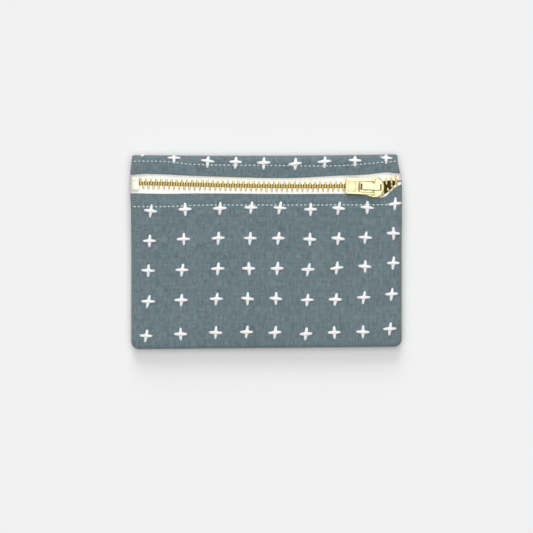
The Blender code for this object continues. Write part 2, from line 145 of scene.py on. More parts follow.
class PouchSettings(bpy.types.PropertyGroup):
    """The colours and sizes of the pouch's finishes."""

    cloth_colour: bpy.props.FloatVectorProperty(
        name="Cloth",
        description="Greener colour of the twill's yarns",
        subtype="COLOR",
        default=(0.108, 0.198, 0.205),
    )
    grey_colour: bpy.props.FloatVectorProperty(
        name="Cloth, greyer",
        description="Greyer colour of the twill's yarns",
        subtype="COLOR",
        default=(0.168, 0.188, 0.215),
    )
    # The lining's colour, made dark brown so that it also paints the shade and brass reflections in the
    # zip's open mouth.
    lining_and_mouth_shade_colour: bpy.props.FloatVectorProperty(
        name="Lining",
        description="Colour of the lining",
        subtype="COLOR",
        default=(0.17, 0.11, 0.045),
    )
    tape_colour: bpy.props.FloatVectorProperty(
        name="Zip tape",
        description="Colour of the zip's tape",
        subtype="COLOR",
        default=(0.98, 0.975, 0.94),
    )
    slider_colour: bpy.props.FloatVectorProperty(
        name="Slider brass",
        description="Colour of the slider and pull",
        subtype="COLOR",
        default=(0.93, 0.88, 0.56),
    )
    stop_colour: bpy.props.FloatVectorProperty(
        name="Stop brass",
        description="Colour of the zip's stops",
        subtype="COLOR",
        default=(0.99, 0.98, 0.88),
    )
    teeth_colour: bpy.props.FloatVectorProperty(
        name="Teeth brass",
        description="Colour of the zip's teeth",
        subtype="COLOR",
        default=(0.97, 0.77, 0.3),
    )
    floss_colour: bpy.props.FloatVectorProperty(
        name="Floss",
        description="Colour of the embroidered crosses",
        subtype="COLOR",
        default=(0.98, 0.975, 0.96),
    )
    thread_colour: bpy.props.FloatVectorProperty(
        name="Thread",
        description="Colour of the topstitches",
        subtype="COLOR",
        default=(0.62, 0.7, 0.7),
    )
    cloth_thickness: bpy.props.FloatProperty(
        name="Cloth thickness",
        description="Thickness of one layer of twill",
        unit="LENGTH",
        default=0.35 * MM,
    )
    stitch_step: bpy.props.FloatProperty(
        name="Stitch step",
        description="From one topstitch to the next",
        unit="LENGTH",
        default=2.2 * MM,
    )
    cross_reach: bpy.props.FloatProperty(
        name="Cross reach",
        description="Half the length of a cross's arms",
        unit="LENGTH",
        default=3.4 * MM,
    )
    cross_width: bpy.props.FloatProperty(
        name="Cross width",
        description="Width of a cross's arms",
        unit="LENGTH",
        default=1.8 * MM,
    )


def settings():
    return bpy.context.scene.pouch_settings


# ------------------------------------------------------------------ numbers and curves


def mix(a, b, share):
    return a + (b - a) * share


def ease(low, high, value):
    """0 up to low, 1 from high on, and a smooth change between them, whichever of the two is larger."""
    share = min(1.0, max(0.0, (value - low) / (high - low)))
    return share * share * (3 - 2 * share)


def through(points, at):
    """The y, at x = at, of a smooth curve through given points."""
    at /= MM
    last = len(points) - 1
    step = next((n for n in range(last) if at <= points[n + 1][0]), last - 1)
    (x0, y0), (x1, y1) = points[step], points[step + 1]

    def slope(n):
        before, after = points[max(0, n - 1)], points[min(last, n + 1)]
        return (after[1] - before[1]) / (after[0] - before[0])

    span = x1 - x0
    t = min(1.0, max(0.0, (at - x0) / span))
    rise = slope(step) * span * (t - 2 * t**2 + t**3)
    fall = slope(step + 1) * span * (t**3 - t**2)
    return (mix(y0, y1, t * t * (3 - 2 * t)) + rise + fall) * MM


def spaced(start, end, step):
    count = max(1, round(abs(end - start) / step))
    return [mix(start, end, n / count) for n in range(count + 1)]


# ------------------------------------------------------------------ the pouch's shape


def bottom_edge(x):
    return (-49.85 + 0.6 * x / HALF_WIDTH) * MM


def top_edge(x):
    across = x / HALF_WIDTH
    return (49.8 + 0.5 * across**2 + 0.2 * across) * MM


def rounding(y, bottom):
    """How far a side stands in at y because of the rounded bottom corner."""
    below = min(CORNER, max(0.0, bottom + CORNER - y))
    return CORNER - math.sqrt(max(0.0, CORNER**2 - below**2))


def left_edge(y):
    bulge = 0.6 * MM * math.exp(-(((y - 35 * MM) / (8 * MM)) ** 2))
    edge = -HALF_WIDTH - bulge + 0.5 * MM * ease(43 * MM, 50 * MM, y)
    return edge + rounding(y, bottom_edge(-HALF_WIDTH))


def right_edge(y):
    edge = HALF_WIDTH - 2.3 * MM * ease(33 * MM, 50 * MM, y)
    return edge - rounding(y, bottom_edge(HALF_WIDTH))


def seam_height(y):
    """Height of the side seam: low at the body, higher beside the zip and halfway up at the top fold."""
    return mix(3.6 * MM, 6.5 * MM, ease(0, 18 * MM, y)) - 1.7 * MM * ease(41 * MM, 50 * MM, y)


def zip_room(y):
    """1 where the side seam passes under the zip's ends, 0 elsewhere."""
    return ease(27.5 * MM, 30.5 * MM, y) * (1 - ease(39 * MM, 41.5 * MM, y))


def swell(distance):
    """0 at a seam and 1 where the cloth lies flat: a short round edge and a long soft rise."""
    edge = 1 - min(1.0, max(0.0, distance) / SOFT_EDGE)
    margin = 1 - min(1.0, max(0.0, distance) / SOFT_MARGIN)
    return 0.72 * math.sqrt(max(0.0, 1 - edge * edge)) + 0.28 * (1 - margin * margin)


def corner_cut(x):
    """How far the rounded top corners stand in from the top edge."""
    out = 1 - min(1.0, side_distance(x, 44 * MM) / TOP_CORNER)
    return TOP_CORNER * (1 - math.sqrt(max(0.0, 1 - out * out)))


def side_distance(x, y):
    return min(x - left_edge(y), right_edge(y) - x)


def waves(x, y):
    """The cloth's soft unevenness, in metres."""
    broad = noise.noise(Vector((x, y, 0.01)) / (21 * MM))
    fine = noise.noise(Vector((x, y, 0.05)) / (7 * MM))
    return (0.22 * broad + 0.07 * fine) * MM


def crease(x, y, start, end, width):
    """1 along the line from start to end, given in millimetres, fading to 0 at width from it."""
    a, b = Vector(start) * MM, Vector(end) * MM
    along = b - a
    share = min(1.0, max(0.0, (Vector((x, y)) - a).dot(along) / along.length_squared))
    away = (Vector((x, y)) - a - along * share).length / (width * MM)
    return math.exp(-away * away) * math.sin(math.pi * mix(0.12, 0.88, share))


def furrow(y, line, x):
    """The valley that a row of topstitches pulls into the cloth, with a small pucker at each stitch."""
    away = (y - through(line, x)) / (0.75 * MM)
    if abs(away) > 3:
        return 0.0
    pucker = 1 + 0.3 * math.cos(2 * math.pi * x / settings().stitch_step)
    return -0.3 * MM * math.exp(-away * away) * pucker


def front_relief(x, y):
    height = waves(x, y) + furrow(y, LOWER_STITCHES, x)
    height -= 0.85 * MM * crease(x, y, (43, 20), (58, 14.2), 1.1)
    height += 0.5 * MM * crease(x, y, (45, 17.6), (60, 12), 1.5)
    height -= 0.9 * MM * crease(x, y, (64, 22), (70.5, 11.5), 1.1)
    height += 0.5 * MM * crease(x, y, (60, 22), (68, 9), 1.8)
    height -= 0.2 * MM * crease(x, y, (-69, 12), (-58, 4), 1.8)
    return height


def front_height(x, y):
    """Height of the front panel's outer face."""
    low = seam_height(y) + SEAM_HALF
    full = swell(side_distance(x, y)) * swell(y - bottom_edge(x))
    high = mix(LOFT, HEM_HEIGHT, ease(22 * MM, 29 * MM, y))
    return mix(low, high, full) + front_relief(x, y) * min(1.0, full)


def strip_height(x, y):
    """Height of the outer face of the strip between the zip and the top fold."""
    low = seam_height(y) + SEAM_HALF
    full = swell(side_distance(x, y))
    relief = 0.6 * waves(x + 0.2, y) + furrow(y, UPPER_STITCHES, x)
    relief -= 0.6 * MM * crease(x, y, (43, 42.8), (48, 39.8), 0.8)
    return mix(low, HEM_HEIGHT, full) + relief * full


def back_height(x, y):
    """Height of the back panel's outer face, which lies on the floor."""
    low = seam_height(y) - SEAM_HALF
    full = swell(side_distance(x, y)) * swell(y - bottom_edge(x))
    return mix(low, BACK_REST, full) + abs(waves(x, y + 0.3)) * full * (1 - full) * 4


def front_surface(x, y):
    return Vector((x, y, front_height(x, y)))


def wrap_surface(x, along):
    """The back panel's outer face, from the strip (along < 0) over the fold and down the back."""
    centre = top_edge(x) - FOLD
    if along <= 0:
        y = centre + along
        return Vector((x, y, strip_height(x, y)))
    if along >= FOLD_ARC:
        y = centre - (along - FOLD_ARC)
        return Vector((x, y, back_height(x, y)))
    turn = math.pi * along / FOLD_ARC
    low, high = back_height(x, centre), strip_height(x, centre)
    z = (low + high) / 2 + (high - low) / 2 * math.cos(turn)
    return Vector((x, centre + (FOLD - corner_cut(x)) * math.sin(turn), z))


def wrap_place(x, y):
    """How far along the wrap a point on the strip or the upper half of the fold is, from its y."""
    up = y - (top_edge(x) - FOLD)
    if up <= 0:
        return up
    return FOLD_ARC * math.asin(min(1.0, up / FOLD)) / math.pi


def zip_drop(x):
    """How far the zip sinks towards its two ends, where it is sewn into the side seams."""
    return 1.3 * MM * ease(60 * MM, 70 * MM, abs(x))


def row_line(side, x):
    """The line that a row of teeth is centred on: one line where it is closed, two past the slider."""
    if x <= OPEN_FROM:
        return through(CHAIN, x)
    return through(UPPER_OPEN if side > 0 else LOWER_OPEN, x)


def row_slope(side, x):
    return (row_line(side, x + 0.4 * MM) - row_line(side, x - 0.4 * MM)) / (0.8 * MM)


# ------------------------------------------------------------------ meshes


def finished(name, bm, surface, body="pouch"):
    """Turns a bmesh, given in place, into a smooth piece that rides on a body."""
    mesh = bpy.data.meshes.new(name)
    bm.to_mesh(mesh)
    bm.free()
    mesh.shade_smooth()
    piece = bpy.data.objects.new(name, mesh)
    bpy.context.scene.collection.objects.link(piece)
    mesh.materials.append(surface)
    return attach(piece, body)


def solid(name, bm, surface, body="pouch", sharp=None):
    """A finished piece whose shells are closed. Edges that turn by more than sharp degrees look sharp."""
    bmesh.ops.recalc_face_normals(bm, faces=bm.faces)
    piece = finished(name, bm, surface, body)
    if sharp:
        piece.data.set_sharp_from_angle(angle=math.radians(sharp))
    return piece


def drape(across, along, place):
    """A grid placed by place(station, row), which also gives each vertex's place in the flat cloth."""
    bm = bmesh.new()
    lay = bm.verts.layers.float_vector.new("lay")
    columns, rows = len(across) - 1, len(along) - 1
    bmesh.ops.create_grid(bm, x_segments=columns, y_segments=rows, size=1)
    grid = {}
    for vertex in bm.verts:
        column = round((vertex.co.x + 1) / 2 * columns)
        row = round((vertex.co.y + 1) / 2 * rows)
        vertex.co, vertex[lay] = place(across[column], along[row])
        grid[vertex] = (column, row)
    return bm, grid


def tuck_seam(bm, rim):
    """Rolls the cloth's edge over to the seam and tucks it in. rim holds each edge vertex's seam height."""
    lay = bm.verts.layers.float_vector["lay"]
    edges = [edge for edge in bm.edges if edge.is_boundary and all(v in rim for v in edge.verts)]
    starts = {}
    for vertex, height in rim.items():
        x, y, _ = vertex.co
        inside_y = max(y, bottom_edge(x) + CORNER)
        reach = HALF_WIDTH - CORNER - 2.5 * MM * ease(33 * MM, 50 * MM, y)
        inside_x = min(reach, max(-reach, x))
        inwards = Vector((inside_x - x, inside_y - y, 0)).normalized()
        starts[vertex] = (vertex.co.copy(), inwards, height, vertex[lay].copy())
    for turn, tuck in ((25, 0), (50, 0), (72, 0), (90, 0), (90, SEAM_TUCK)):
        angle = math.radians(turn)
        made = bmesh.ops.extrude_edge_only(bm, edges=edges)["geom"]
        edges = [item for item in made if isinstance(item, bmesh.types.BMEdge) and item.is_boundary]
        following = {}
        for vertex in (item for item in made if isinstance(item, bmesh.types.BMVert)):
            source = next(e.other_vert(vertex) for e in vertex.link_edges if e.other_vert(vertex) in starts)
            place, inwards, height, laid = starts[source]
            inset = 0.8 * SEAM_HALF * (1 - math.cos(angle)) + tuck
            vertex.co = place + inwards * inset
            vertex.co.z = mix(place.z, height, math.sin(angle))
            vertex[lay] = laid - inwards * (inset + 0.5 * MM)
            following[vertex] = starts[source]
        starts = following


def layer(piece, thickness, offset=-1.0):
    """Gives a sheet its thickness, inwards from its outer face unless an offset is given."""
    solidify = piece.modifiers.new("Thickness", "SOLIDIFY")
    solidify.thickness = thickness
    solidify.offset = offset
    solidify.use_even_offset = False


def stations():
    """Shares of the half width, from -1 to 1, close together at the seams."""
    edge = (0, 0.12, 0.35, 0.7, 1.15, 1.7, 2.4, 3.3, 4.4, 5.7, 7.2, 8.9)
    right = [1 - step * MM / HALF_WIDTH for step in reversed(edge)]
    middle = spaced(-right[0], right[0], 1.25 * MM / HALF_WIDTH)
    return [-share for share in reversed(right[1:])] + middle + right[1:]


def at_station(station, y, inset=0.0):
    """x at a share of the half width, with the cloth's edges moved in by inset."""
    return mix(left_edge(y) + inset, right_edge(y) - inset, (station + 1) / 2)


def bottom_rows():
    return [step * MM for step in (0, 0.12, 0.35, 0.7, 1.15, 1.7, 2.4, 3.3, 4.4, 5.7, 7.2, 8.9)]


HEM_TURNS = (65, 40, 15, -10, -35, -60, -90)


def hem_rows():
    """Rows round a hem's fold and back under it, as (angle, distance back)."""
    return [(turn, 0.0) for turn in HEM_TURNS] + [(-90, HEM_WIDTH * share) for share in (0.2, 0.5, 0.8, 1)]


def hem_place(station, turn, back, edge, height, side):
    """A point of a hem. edge gives the fold's y, height the face's; side is -1 below the zip, 1 above."""
    angle = math.radians(turn)
    share = (90 - turn) / 180
    rough = edge(HALF_WIDTH * station)
    x = at_station(station, rough, inset=2.2 * MM * share)
    centre = edge(x) + side * HEM_RADIUS
    y = centre - side * HEM_RADIUS * math.cos(angle) + side * back
    top = height(x, centre + side * back) if back else height(x, centre)
    z = top - HEM_DEPTH / 2 + HEM_DEPTH / 2 * math.sin(angle)
    laid = edge(x) - side * (math.pi * HEM_RADIUS * share + back)
    return Vector((x, y, z)), Vector((x, laid, 0))


def lower_hem(x):
    return through(LOWER_HEM, x)


def upper_hem(x):
    return through(UPPER_HEM, x)


def make_front():
    """The front panel, hemmed below the zip."""
    reach = 79 * MM
    rows = bottom_rows()
    rows += spaced(rows[-1], reach - 7.5 * MM, 1.2 * MM)[1:]
    rows += spaced(reach - 7.5 * MM, reach, 0.5 * MM)[1:]
    along = [("face", row / reach) for row in rows] + [("hem", row) for row in hem_rows()]

    def place(station, row):
        kind, at = row
        if kind == "hem":
            return hem_place(station, *at, lower_hem, front_height, -1)
        rough = HALF_WIDTH * station
        y = mix(bottom_edge(rough), lower_hem(rough) - HEM_RADIUS, at)
        x = at_station(station, y)
        y = mix(bottom_edge(x), lower_hem(x) - HEM_RADIUS, at)
        return front_surface(x, y), Vector((x, y, 0))

    bm, grid = drape(stations(), along, place)
    columns, faces = len(stations()) - 1, len(rows) - 1
    rim = {
        vertex: seam_height(vertex.co.y) + 0.02 * MM
        for vertex, (column, row) in grid.items()
        if row <= faces and (column in (0, columns) or row == 0)
    }
    tuck_seam(bm, rim)
    piece = finished("front_cloth", bm, twill())
    layer(piece, settings().cloth_thickness)
    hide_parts("front_panel")
    return piece


def make_wrap():
    """The back panel, which wraps over the top edge and is hemmed above the zip."""
    reach = 95 * MM
    rows = bottom_rows()
    rows += spaced(rows[-1], reach, 1.5 * MM)[1:]
    along = [("back", row / reach) for row in rows]
    along += [("fold", turn / 12) for turn in range(1, 12)]
    strip = spaced(0, 1, 0.09)
    along += [("strip", share) for share in strip] + [("hem", row) for row in hem_rows()]

    def place(station, row):
        kind, at = row
        if kind == "hem":
            return hem_place(station, *at, upper_hem, strip_height, 1)
        x = HALF_WIDTH * station
        for _ in range(2):
            centre = top_edge(x) - FOLD
            if kind == "back":
                y = mix(bottom_edge(x), centre, at)
                wrapped = FOLD_ARC + centre - y
            elif kind == "fold":
                wrapped = FOLD_ARC * (1 - at)
                y = wrap_surface(x, wrapped).y
            else:
                y = mix(centre, upper_hem(x) + HEM_RADIUS, at)
                wrapped = y - centre
            x = at_station(station, y)
        return wrap_surface(x, wrapped), Vector((x, -wrapped, 0))

    bm, grid = drape(stations(), along, place)
    columns = len(stations()) - 1
    back, folded, stripped = len(rows), len(rows) + 11, len(rows) + 11 + len(strip)
    rim = {}
    for vertex, (column, row) in grid.items():
        if row >= stripped or not (column in (0, columns) or row == 0):
            continue
        share = min(1.0, max(0.0, (row - back) / (folded - back)))
        y = vertex.co.y
        under = 1.0 * MM * zip_room(y) if row < back else 0
        rim[vertex] = seam_height(y) + mix(-0.02, 0.02, share) * MM - under
    tuck_seam(bm, rim)
    piece = finished("wrap_cloth", bm, twill())
    layer(piece, settings().cloth_thickness, offset=1.0)
    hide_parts("back_panel")
    return piece


# ------------------------------------------------------------------ threads


def rod(rings, sides):
    """A closed prism of radius 1 along +Z from 0 to 1, cut into rings."""
    bm = bmesh.new()
    bmesh.ops.create_cone(bm, cap_ends=True, segments=sides, radius1=1, radius2=1, depth=1)
    bmesh.ops.translate(bm, vec=(0, 0, 0.5), verts=bm.verts)
    upright = [edge for edge in bm.edges if abs(edge.verts[0].co.z - edge.verts[1].co.z) > 0.5]
    bmesh.ops.subdivide_edges(bm, edges=upright, cuts=rings - 1)
    mesh = bpy.data.meshes.new("rod")
    bm.to_mesh(mesh)
    bm.free()
    return mesh


def lay_rod(bm, pattern, shape):
    """Adds a copy of a rod, each vertex placed by shape(share along, side offset, height offset)."""
    lay = bm.verts.layers.float_vector.get("lay") or bm.verts.layers.float_vector.new("lay")
    known = len(bm.verts)
    bm.from_mesh(pattern)
    bm.verts.ensure_lookup_table()
    for vertex in bm.verts[known:]:
        across, up, share = vertex.co
        vertex.co, vertex[lay] = shape(share, across, up)


def surface_normal(surface, x, y):
    step = 0.3 * MM
    along_x = surface(x + step, y) - surface(x - step, y)
    along_y = surface(x, y + step) - surface(x, y - step)
    return along_x.cross(along_y).normalized()


def lay_stitch(bm, pattern, surface, start, end, width, depth, rise, sink):
    """A stitch on a surface from start to end, in the surface's own coordinates, sunk in at its ends."""
    start, end = Vector(start), Vector(end)
    length = (end - start).length
    heading = (end - start).normalized()
    sideways = Vector((-heading.y, heading.x))
    rings = {}

    def shape(share, across, up):
        key = round(share, 4)
        if key not in rings:
            middle = mix(start, end, share)
            rings[key] = (middle, surface_normal(surface, *middle))
        middle, normal = rings[key]
        body = math.sin(math.pi * mix(0.06, 0.94, share))
        half = width / 2 * (0.32 + 0.68 * body**0.75)
        spot = middle + sideways * across * half
        height = mix(-sink, rise, body**0.5) + up * half * depth / width
        place = surface(*spot) + normal * height
        return place, Vector((across * half, share * length, up * half))

    lay_rod(bm, pattern, shape)


def make_topstitches():
    """The rows of machine stitches that hold the hems, one row on each side of the zip."""
    pattern = rod(5, 6)
    step = settings().stitch_step
    surfaces = {
        "lower": (LOWER_STITCHES, front_surface, lambda x, y: y),
        "upper": (UPPER_STITCHES, wrap_surface, wrap_place),
    }
    made = []
    for name, (line, surface, place) in surfaces.items():
        bm = bmesh.new()
        chance = random.Random(name)
        x = -68.6 * MM
        while x < 67.2 * MM:
            ends = []
            for at in (x, x + step * chance.uniform(0.54, 0.62)):
                stray = chance.uniform(-0.05, 0.05) * MM
                ends.append((at, place(at, through(line, at) + stray)))
            lay_stitch(bm, pattern, surface, *ends, 0.78 * MM, 0.45 * MM, 0.22 * MM, 0.12 * MM)
            x += step
        thread = spun_thread("topstitch_thread", settings().thread_colour)
        piece = solid(f"{name}_topstitches", bm, thread)
        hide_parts(f"{name}_topstitch")
        made.append(piece)
    bpy.data.meshes.remove(pattern)
    return made


def lay_cross(bm, pattern, surface, centre, chance):
    """Two stitches of floss, the upright one first."""
    reach, width = settings().cross_reach, settings().cross_width
    for turn, slant in ((90, -5), (0, 0)):
        angle = math.radians(turn + slant + chance.gauss(0, 4))
        heading = Vector((math.cos(angle), math.sin(angle)))
        long = reach * chance.uniform(0.95, 1.06)
        short = reach * chance.uniform(0.92, 1.0)
        ends = (centre - heading * long, centre + heading * short)
        rise = (0.12 if turn else 0.34) * MM
        wide = width * chance.uniform(0.92, 1.06)
        lay_stitch(bm, pattern, surface, *ends, wide, 0.7 * MM, rise, 0.18 * MM)


def make_crosses():
    """The embroidered crosses: five rows on the front, one beside the zip and more down the back."""
    pattern = rod(8, 8)
    floss = spun_thread("floss", settings().floss_colour)
    chance = random.Random("crosses")
    made = []
    for number, row in enumerate(ROWS, 1):
        bm = bmesh.new()
        for column, lift in zip(COLUMNS, COLUMN_LIFT):
            x = column - LEAN * (ROWS[0] - row)
            spot = Vector((x + chance.uniform(-0.3, 0.3), row + lift + chance.uniform(-0.3, 0.3))) * MM
            lay_cross(bm, pattern, front_surface, spot, chance)
        made.append(solid(f"front_crosses_{number}", bm, floss))
    for number in range(BACK_ROWS):
        bm = bmesh.new()
        for column, lift in zip(STRIP_COLUMNS, STRIP_LIFT):
            x = column * MM
            along = wrap_place(x, lift * MM) + number * BACK_ROW_STEP * MM
            if lift * MM > top_edge(x):
                along += 0.8 * MM
            lay_cross(bm, pattern, wrap_surface, Vector((x, along)), chance)
        name = "strip_crosses" if number == 0 else f"back_crosses_{number}"
        made.append(solid(name, bm, floss))
    bpy.data.meshes.remove(pattern)
    return made


# ------------------------------------------------------------------ the zip


def zip_stations():
    return spaced(-ZIP_END, 52 * MM, 1.5 * MM)[:-1] + spaced(52 * MM, ZIP_END, 0.6 * MM)


def squeezed(x, low, high):
    """x on a tape as long as the pouch is wide, drawn in near its ends to fit between low and high."""
    start = 62 * MM
    if x > start:
        return mix(start, high, (x - start) / (ZIP_END - start))
    if x < -start:
        return mix(-start, low, (-start - x) / (ZIP_END - start))
    return x


def tape_edge(side, x):
    """Middle of the bead along a tape's inner edge. The two tapes meet at their sewn-down ends."""
    meet = ease(64.5 * MM, 67.5 * MM, x) + ease(-66.5 * MM, -69 * MM, x)
    return row_line(side, x) + side * BEAD * (1 - 0.75 * meet)


def tape_height(x, y, side):
    """Height of a tape's middle: level with the chain, and always under the hem that covers it."""
    hem = front_height(x, lower_hem(x) - 1 * MM) if side < 0 else strip_height(x, upper_hem(x) + 1 * MM)
    return min(CHAIN_Z - zip_drop(x), hem - HEM_DEPTH - 0.27 * MM)


def make_tapes():
    """The woven tapes, each with a bead along the edge that carries the teeth."""
    made = []
    for name, side in (("lower", -1), ("upper", 1)):
        across = zip_stations()
        outside = HINGE.y + side * 11 * MM
        rows = (0, 0.08, 0.2, 0.35, 0.5, 0.7, 0.85, 1)

        def place(x, share):
            y = mix(tape_edge(side, x), outside, share)
            past_hems = min(y - lower_hem(x), upper_hem(x) - y)
            inset = mix(1.6 * MM, 0.15 * MM, ease(-1.6 * MM, -0.6 * MM, past_hems))
            x = squeezed(x, left_edge(y) + inset, right_edge(y) - inset)
            return Vector((x, y, tape_height(x, y, side))), Vector((x, y, 0))

        bm, _ = drape(across, rows, place)
        bmesh.ops.recalc_face_normals(bm, faces=bm.faces)
        bmesh.ops.solidify(bm, geom=bm.faces[:], thickness=TAPE_THICKNESS)
        pattern = rod(len(across) - 1, 8)

        def bead(share, sideways, up):
            x = mix(across[0], across[-1], share)
            y = tape_edge(side, x) + sideways * BEAD_RADIUS
            x = squeezed(x, left_edge(y) + 0.3 * MM, right_edge(y) - 0.3 * MM)
            z = tape_height(x, y, side) + up * BEAD_RADIUS
            return Vector((x, y, z)), Vector((x, y, up * BEAD_RADIUS))

        lay_rod(bm, pattern, bead)
        bpy.data.meshes.remove(pattern)
        piece = solid(f"{name}_tape_weave", bm, woven_tape())
        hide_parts(f"{name}_tape")
        made.append(piece)
    return made


def slab(outline, low, high, rounding_width, segments=3, where=lambda place: True):
    """A prism on an outline, with its upper and lower rims rounded where a test of their places says so."""
    bm = bmesh.new()
    face = bm.faces.new([bm.verts.new((x, y, low)) for x, y in outline])
    made = bmesh.ops.extrude_face_region(bm, geom=[face])
    raised = [item for item in made["geom"] if isinstance(item, bmesh.types.BMVert)]
    bmesh.ops.translate(bm, vec=(0, 0, high - low), verts=raised)
    bmesh.ops.recalc_face_normals(bm, faces=bm.faces)
    if rounding_width:
        level = [edge for edge in bm.edges if abs(edge.verts[0].co.z - edge.verts[1].co.z) < 1e-7]
        rims = [edge for edge in level if all(where(vertex.co) for vertex in edge.verts)]
        bmesh.ops.bevel(
            bm,
            geom=rims,
            offset=rounding_width,
            offset_type="OFFSET",
            segments=segments,
            profile=0.5,
            affect="EDGES",
            material=-1,
            clamp_overlap=True,
        )
    return bm


def gather(target, source, matrix=None):
    """Adds one bmesh to another, moved by a matrix."""
    if matrix:
        bmesh.ops.transform(source, matrix=matrix, verts=source.verts)
    mesh = bpy.data.meshes.new("part")
    source.to_mesh(mesh)
    source.free()
    target.from_mesh(mesh)
    bpy.data.meshes.remove(mesh)


def arc(centre, radius_x, radius_y, start, end, steps):
    """Points along part of an ellipse, with angles in degrees."""
    points = []
    for n in range(steps + 1):
        angle = math.radians(mix(start, end, n / steps))
        points.append((centre[0] + radius_x * math.cos(angle), centre[1] + radius_y * math.sin(angle)))
    return points


def tooth():
    """One tooth: a leg that grips the tape and a wider, lower head."""
    leg = [(-TOOTH_HALF, TOOTH_OUTER - 0.2 * MM), (-TOOTH_HALF + 0.2 * MM, TOOTH_OUTER)]
    outline = leg + [(-x, y) for x, y in reversed(leg)]
    outline += [(TOOTH_HALF, 1.15 * MM), (HEAD_HALF, 0.6 * MM), (HEAD_HALF, -0.4 * MM)]
    outline += [(0.36 * MM, TOOTH_TIP), (-0.36 * MM, TOOTH_TIP)]
    outline += [(-HEAD_HALF, -0.4 * MM), (-HEAD_HALF, 0.6 * MM), (-TOOTH_HALF, 1.15 * MM)]
    bm = slab(outline, -TOOTH_HALF_HEIGHT, TOOTH_HALF_HEIGHT, 0.14 * MM, 1)
    for vertex in bm.verts:
        out = min(1.0, max(0.0, (vertex.co.y - 0.5 * MM) / (TOOTH_OUTER - 0.5 * MM)))
        vertex.co.z *= mix(0.62, 1.0, out)
    return bm


def make_teeth():
    """Both rows of teeth: closed up to the slider and open past it."""
    made = []
    finish = brass("teeth_brass", settings().teeth_colour, 0.15)
    for name, side, first in (("upper", 1, FIRST_UPPER_TOOTH), ("lower", -1, FIRST_LOWER_TOOTH)):
        bm = bmesh.new()
        x = first + 0.525 * MM
        while x < 67.4 * MM:
            slope = row_slope(side, x)
            place = Matrix.Translation((x, row_line(side, x), CHAIN_Z - zip_drop(x)))
            turn = Matrix.Rotation(math.atan(slope) + (math.pi if side < 0 else 0), 4, "Z")
            gather(bm, tooth(), place @ turn)
            x += PITCH / math.sqrt(1 + slope * slope)
        piece = solid(f"{name}_zip_teeth", bm, finish, sharp=40)
        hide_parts(f"{name}_teeth")
        made.append(piece)
    return made


def make_stops():
    """The box stop at the open end, and a small stop on each tape at the closed end."""
    finish = brass("stop_brass", settings().stop_colour, 0.3)
    left, right = -70.0 * MM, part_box("bottom_stop")[1].x + 0.3 * MM
    bm = bmesh.new()
    half = 3.55 * MM
    outline = []
    corner = 0.5 * MM
    for centre_x, start in ((right - corner, 0), (left + corner, 90)):
        outline += arc((centre_x, half - corner), corner, corner, start, start + 90, 4)
    outline += [(x, -y) for x, y in reversed(outline)]
    gather(bm, slab(outline, -1.15 * MM, 1.15 * MM, 0.35 * MM))
    for side in (-1, 1):
        ridge = [(x, y) for x, y in ((left + 0.6 * MM, 1.9 * MM), (right - 0.6 * MM, 1.9 * MM))]
        ridge += [(right - 0.6 * MM, 2.5 * MM), (left + 0.6 * MM, 2.5 * MM)]
        ridge = [(x, side * y) for x, y in ridge]
        gather(bm, slab(ridge, 1.0 * MM, 1.3 * MM, 0.12 * MM, 2))
    centre_x = (left + right) / 2
    tilt = 0.4 * math.atan((zip_drop(left) - zip_drop(right)) / (right - left))
    for vertex in bm.verts:
        vertex.co.x -= centre_x
    middle = (centre_x, through(CHAIN, centre_x) - 0.3 * MM, CHAIN_Z - zip_drop(centre_x))
    place = Matrix.Translation(middle)
    bmesh.ops.transform(bm, matrix=place @ Matrix.Rotation(-tilt, 4, "Y"), verts=bm.verts)
    box_stop = solid("box_stop", bm, finish, sharp=35)
    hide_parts("bottom_stop")
    made = [box_stop]
    for name, side in (("upper", 1), ("lower", -1)):
        x = 68.2 * MM
        outline = arc((0, 0), 0.9 * MM, 0.9 * MM, 0, 180, 6)
        outline = [(x_, y + 1.9 * MM) for x_, y in outline] + [(-0.9 * MM, 0.4 * MM), (0.9 * MM, 0.4 * MM)]
        bm = slab(outline, -1.1 * MM, 1.1 * MM, 0.3 * MM)
        place = Matrix.Translation((x, row_line(side, x), CHAIN_Z - zip_drop(x)))
        turn = Matrix.Rotation(math.atan(row_slope(side, x)) + (math.pi if side < 0 else 0), 4, "Z")
        bmesh.ops.transform(bm, matrix=place @ turn, verts=bm.verts)
        piece = solid(f"{name}_end_stop", bm, finish)
        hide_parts(f"{name}_top_stop")
        made.append(piece)
    return made


# ------------------------------------------------------------------ the slider


def slider_frame():
    """Turns points measured from the hinge bar to where the slider sits on the chain."""
    return Matrix.Translation((HINGE.x, HINGE.y - 0.1 * MM, 0)) @ Matrix.Rotation(SLIDER_TURN, 4, "Z")


def slider_outline(grow=0.0):
    """The slider's plan: a straight tail, shoulders and a round nose."""
    tail, half = -7.5 * MM - grow, 4.3 * MM + grow
    side = arc((tail + 0.9 * MM, half - 0.9 * MM), 0.9 * MM, 0.9 * MM, 180, 90, 4)
    side += [(-4.6 * MM, half), (-3.4 * MM, half + 0.12 * MM), (-1.4 * MM, 5.05 * MM + grow)]
    side += arc((1.3 * MM, 0), 4.2 * MM + grow, 5.25 * MM + grow, 105, 0, 14)
    return side + [(x, -y) for x, y in reversed(side[:-1])]


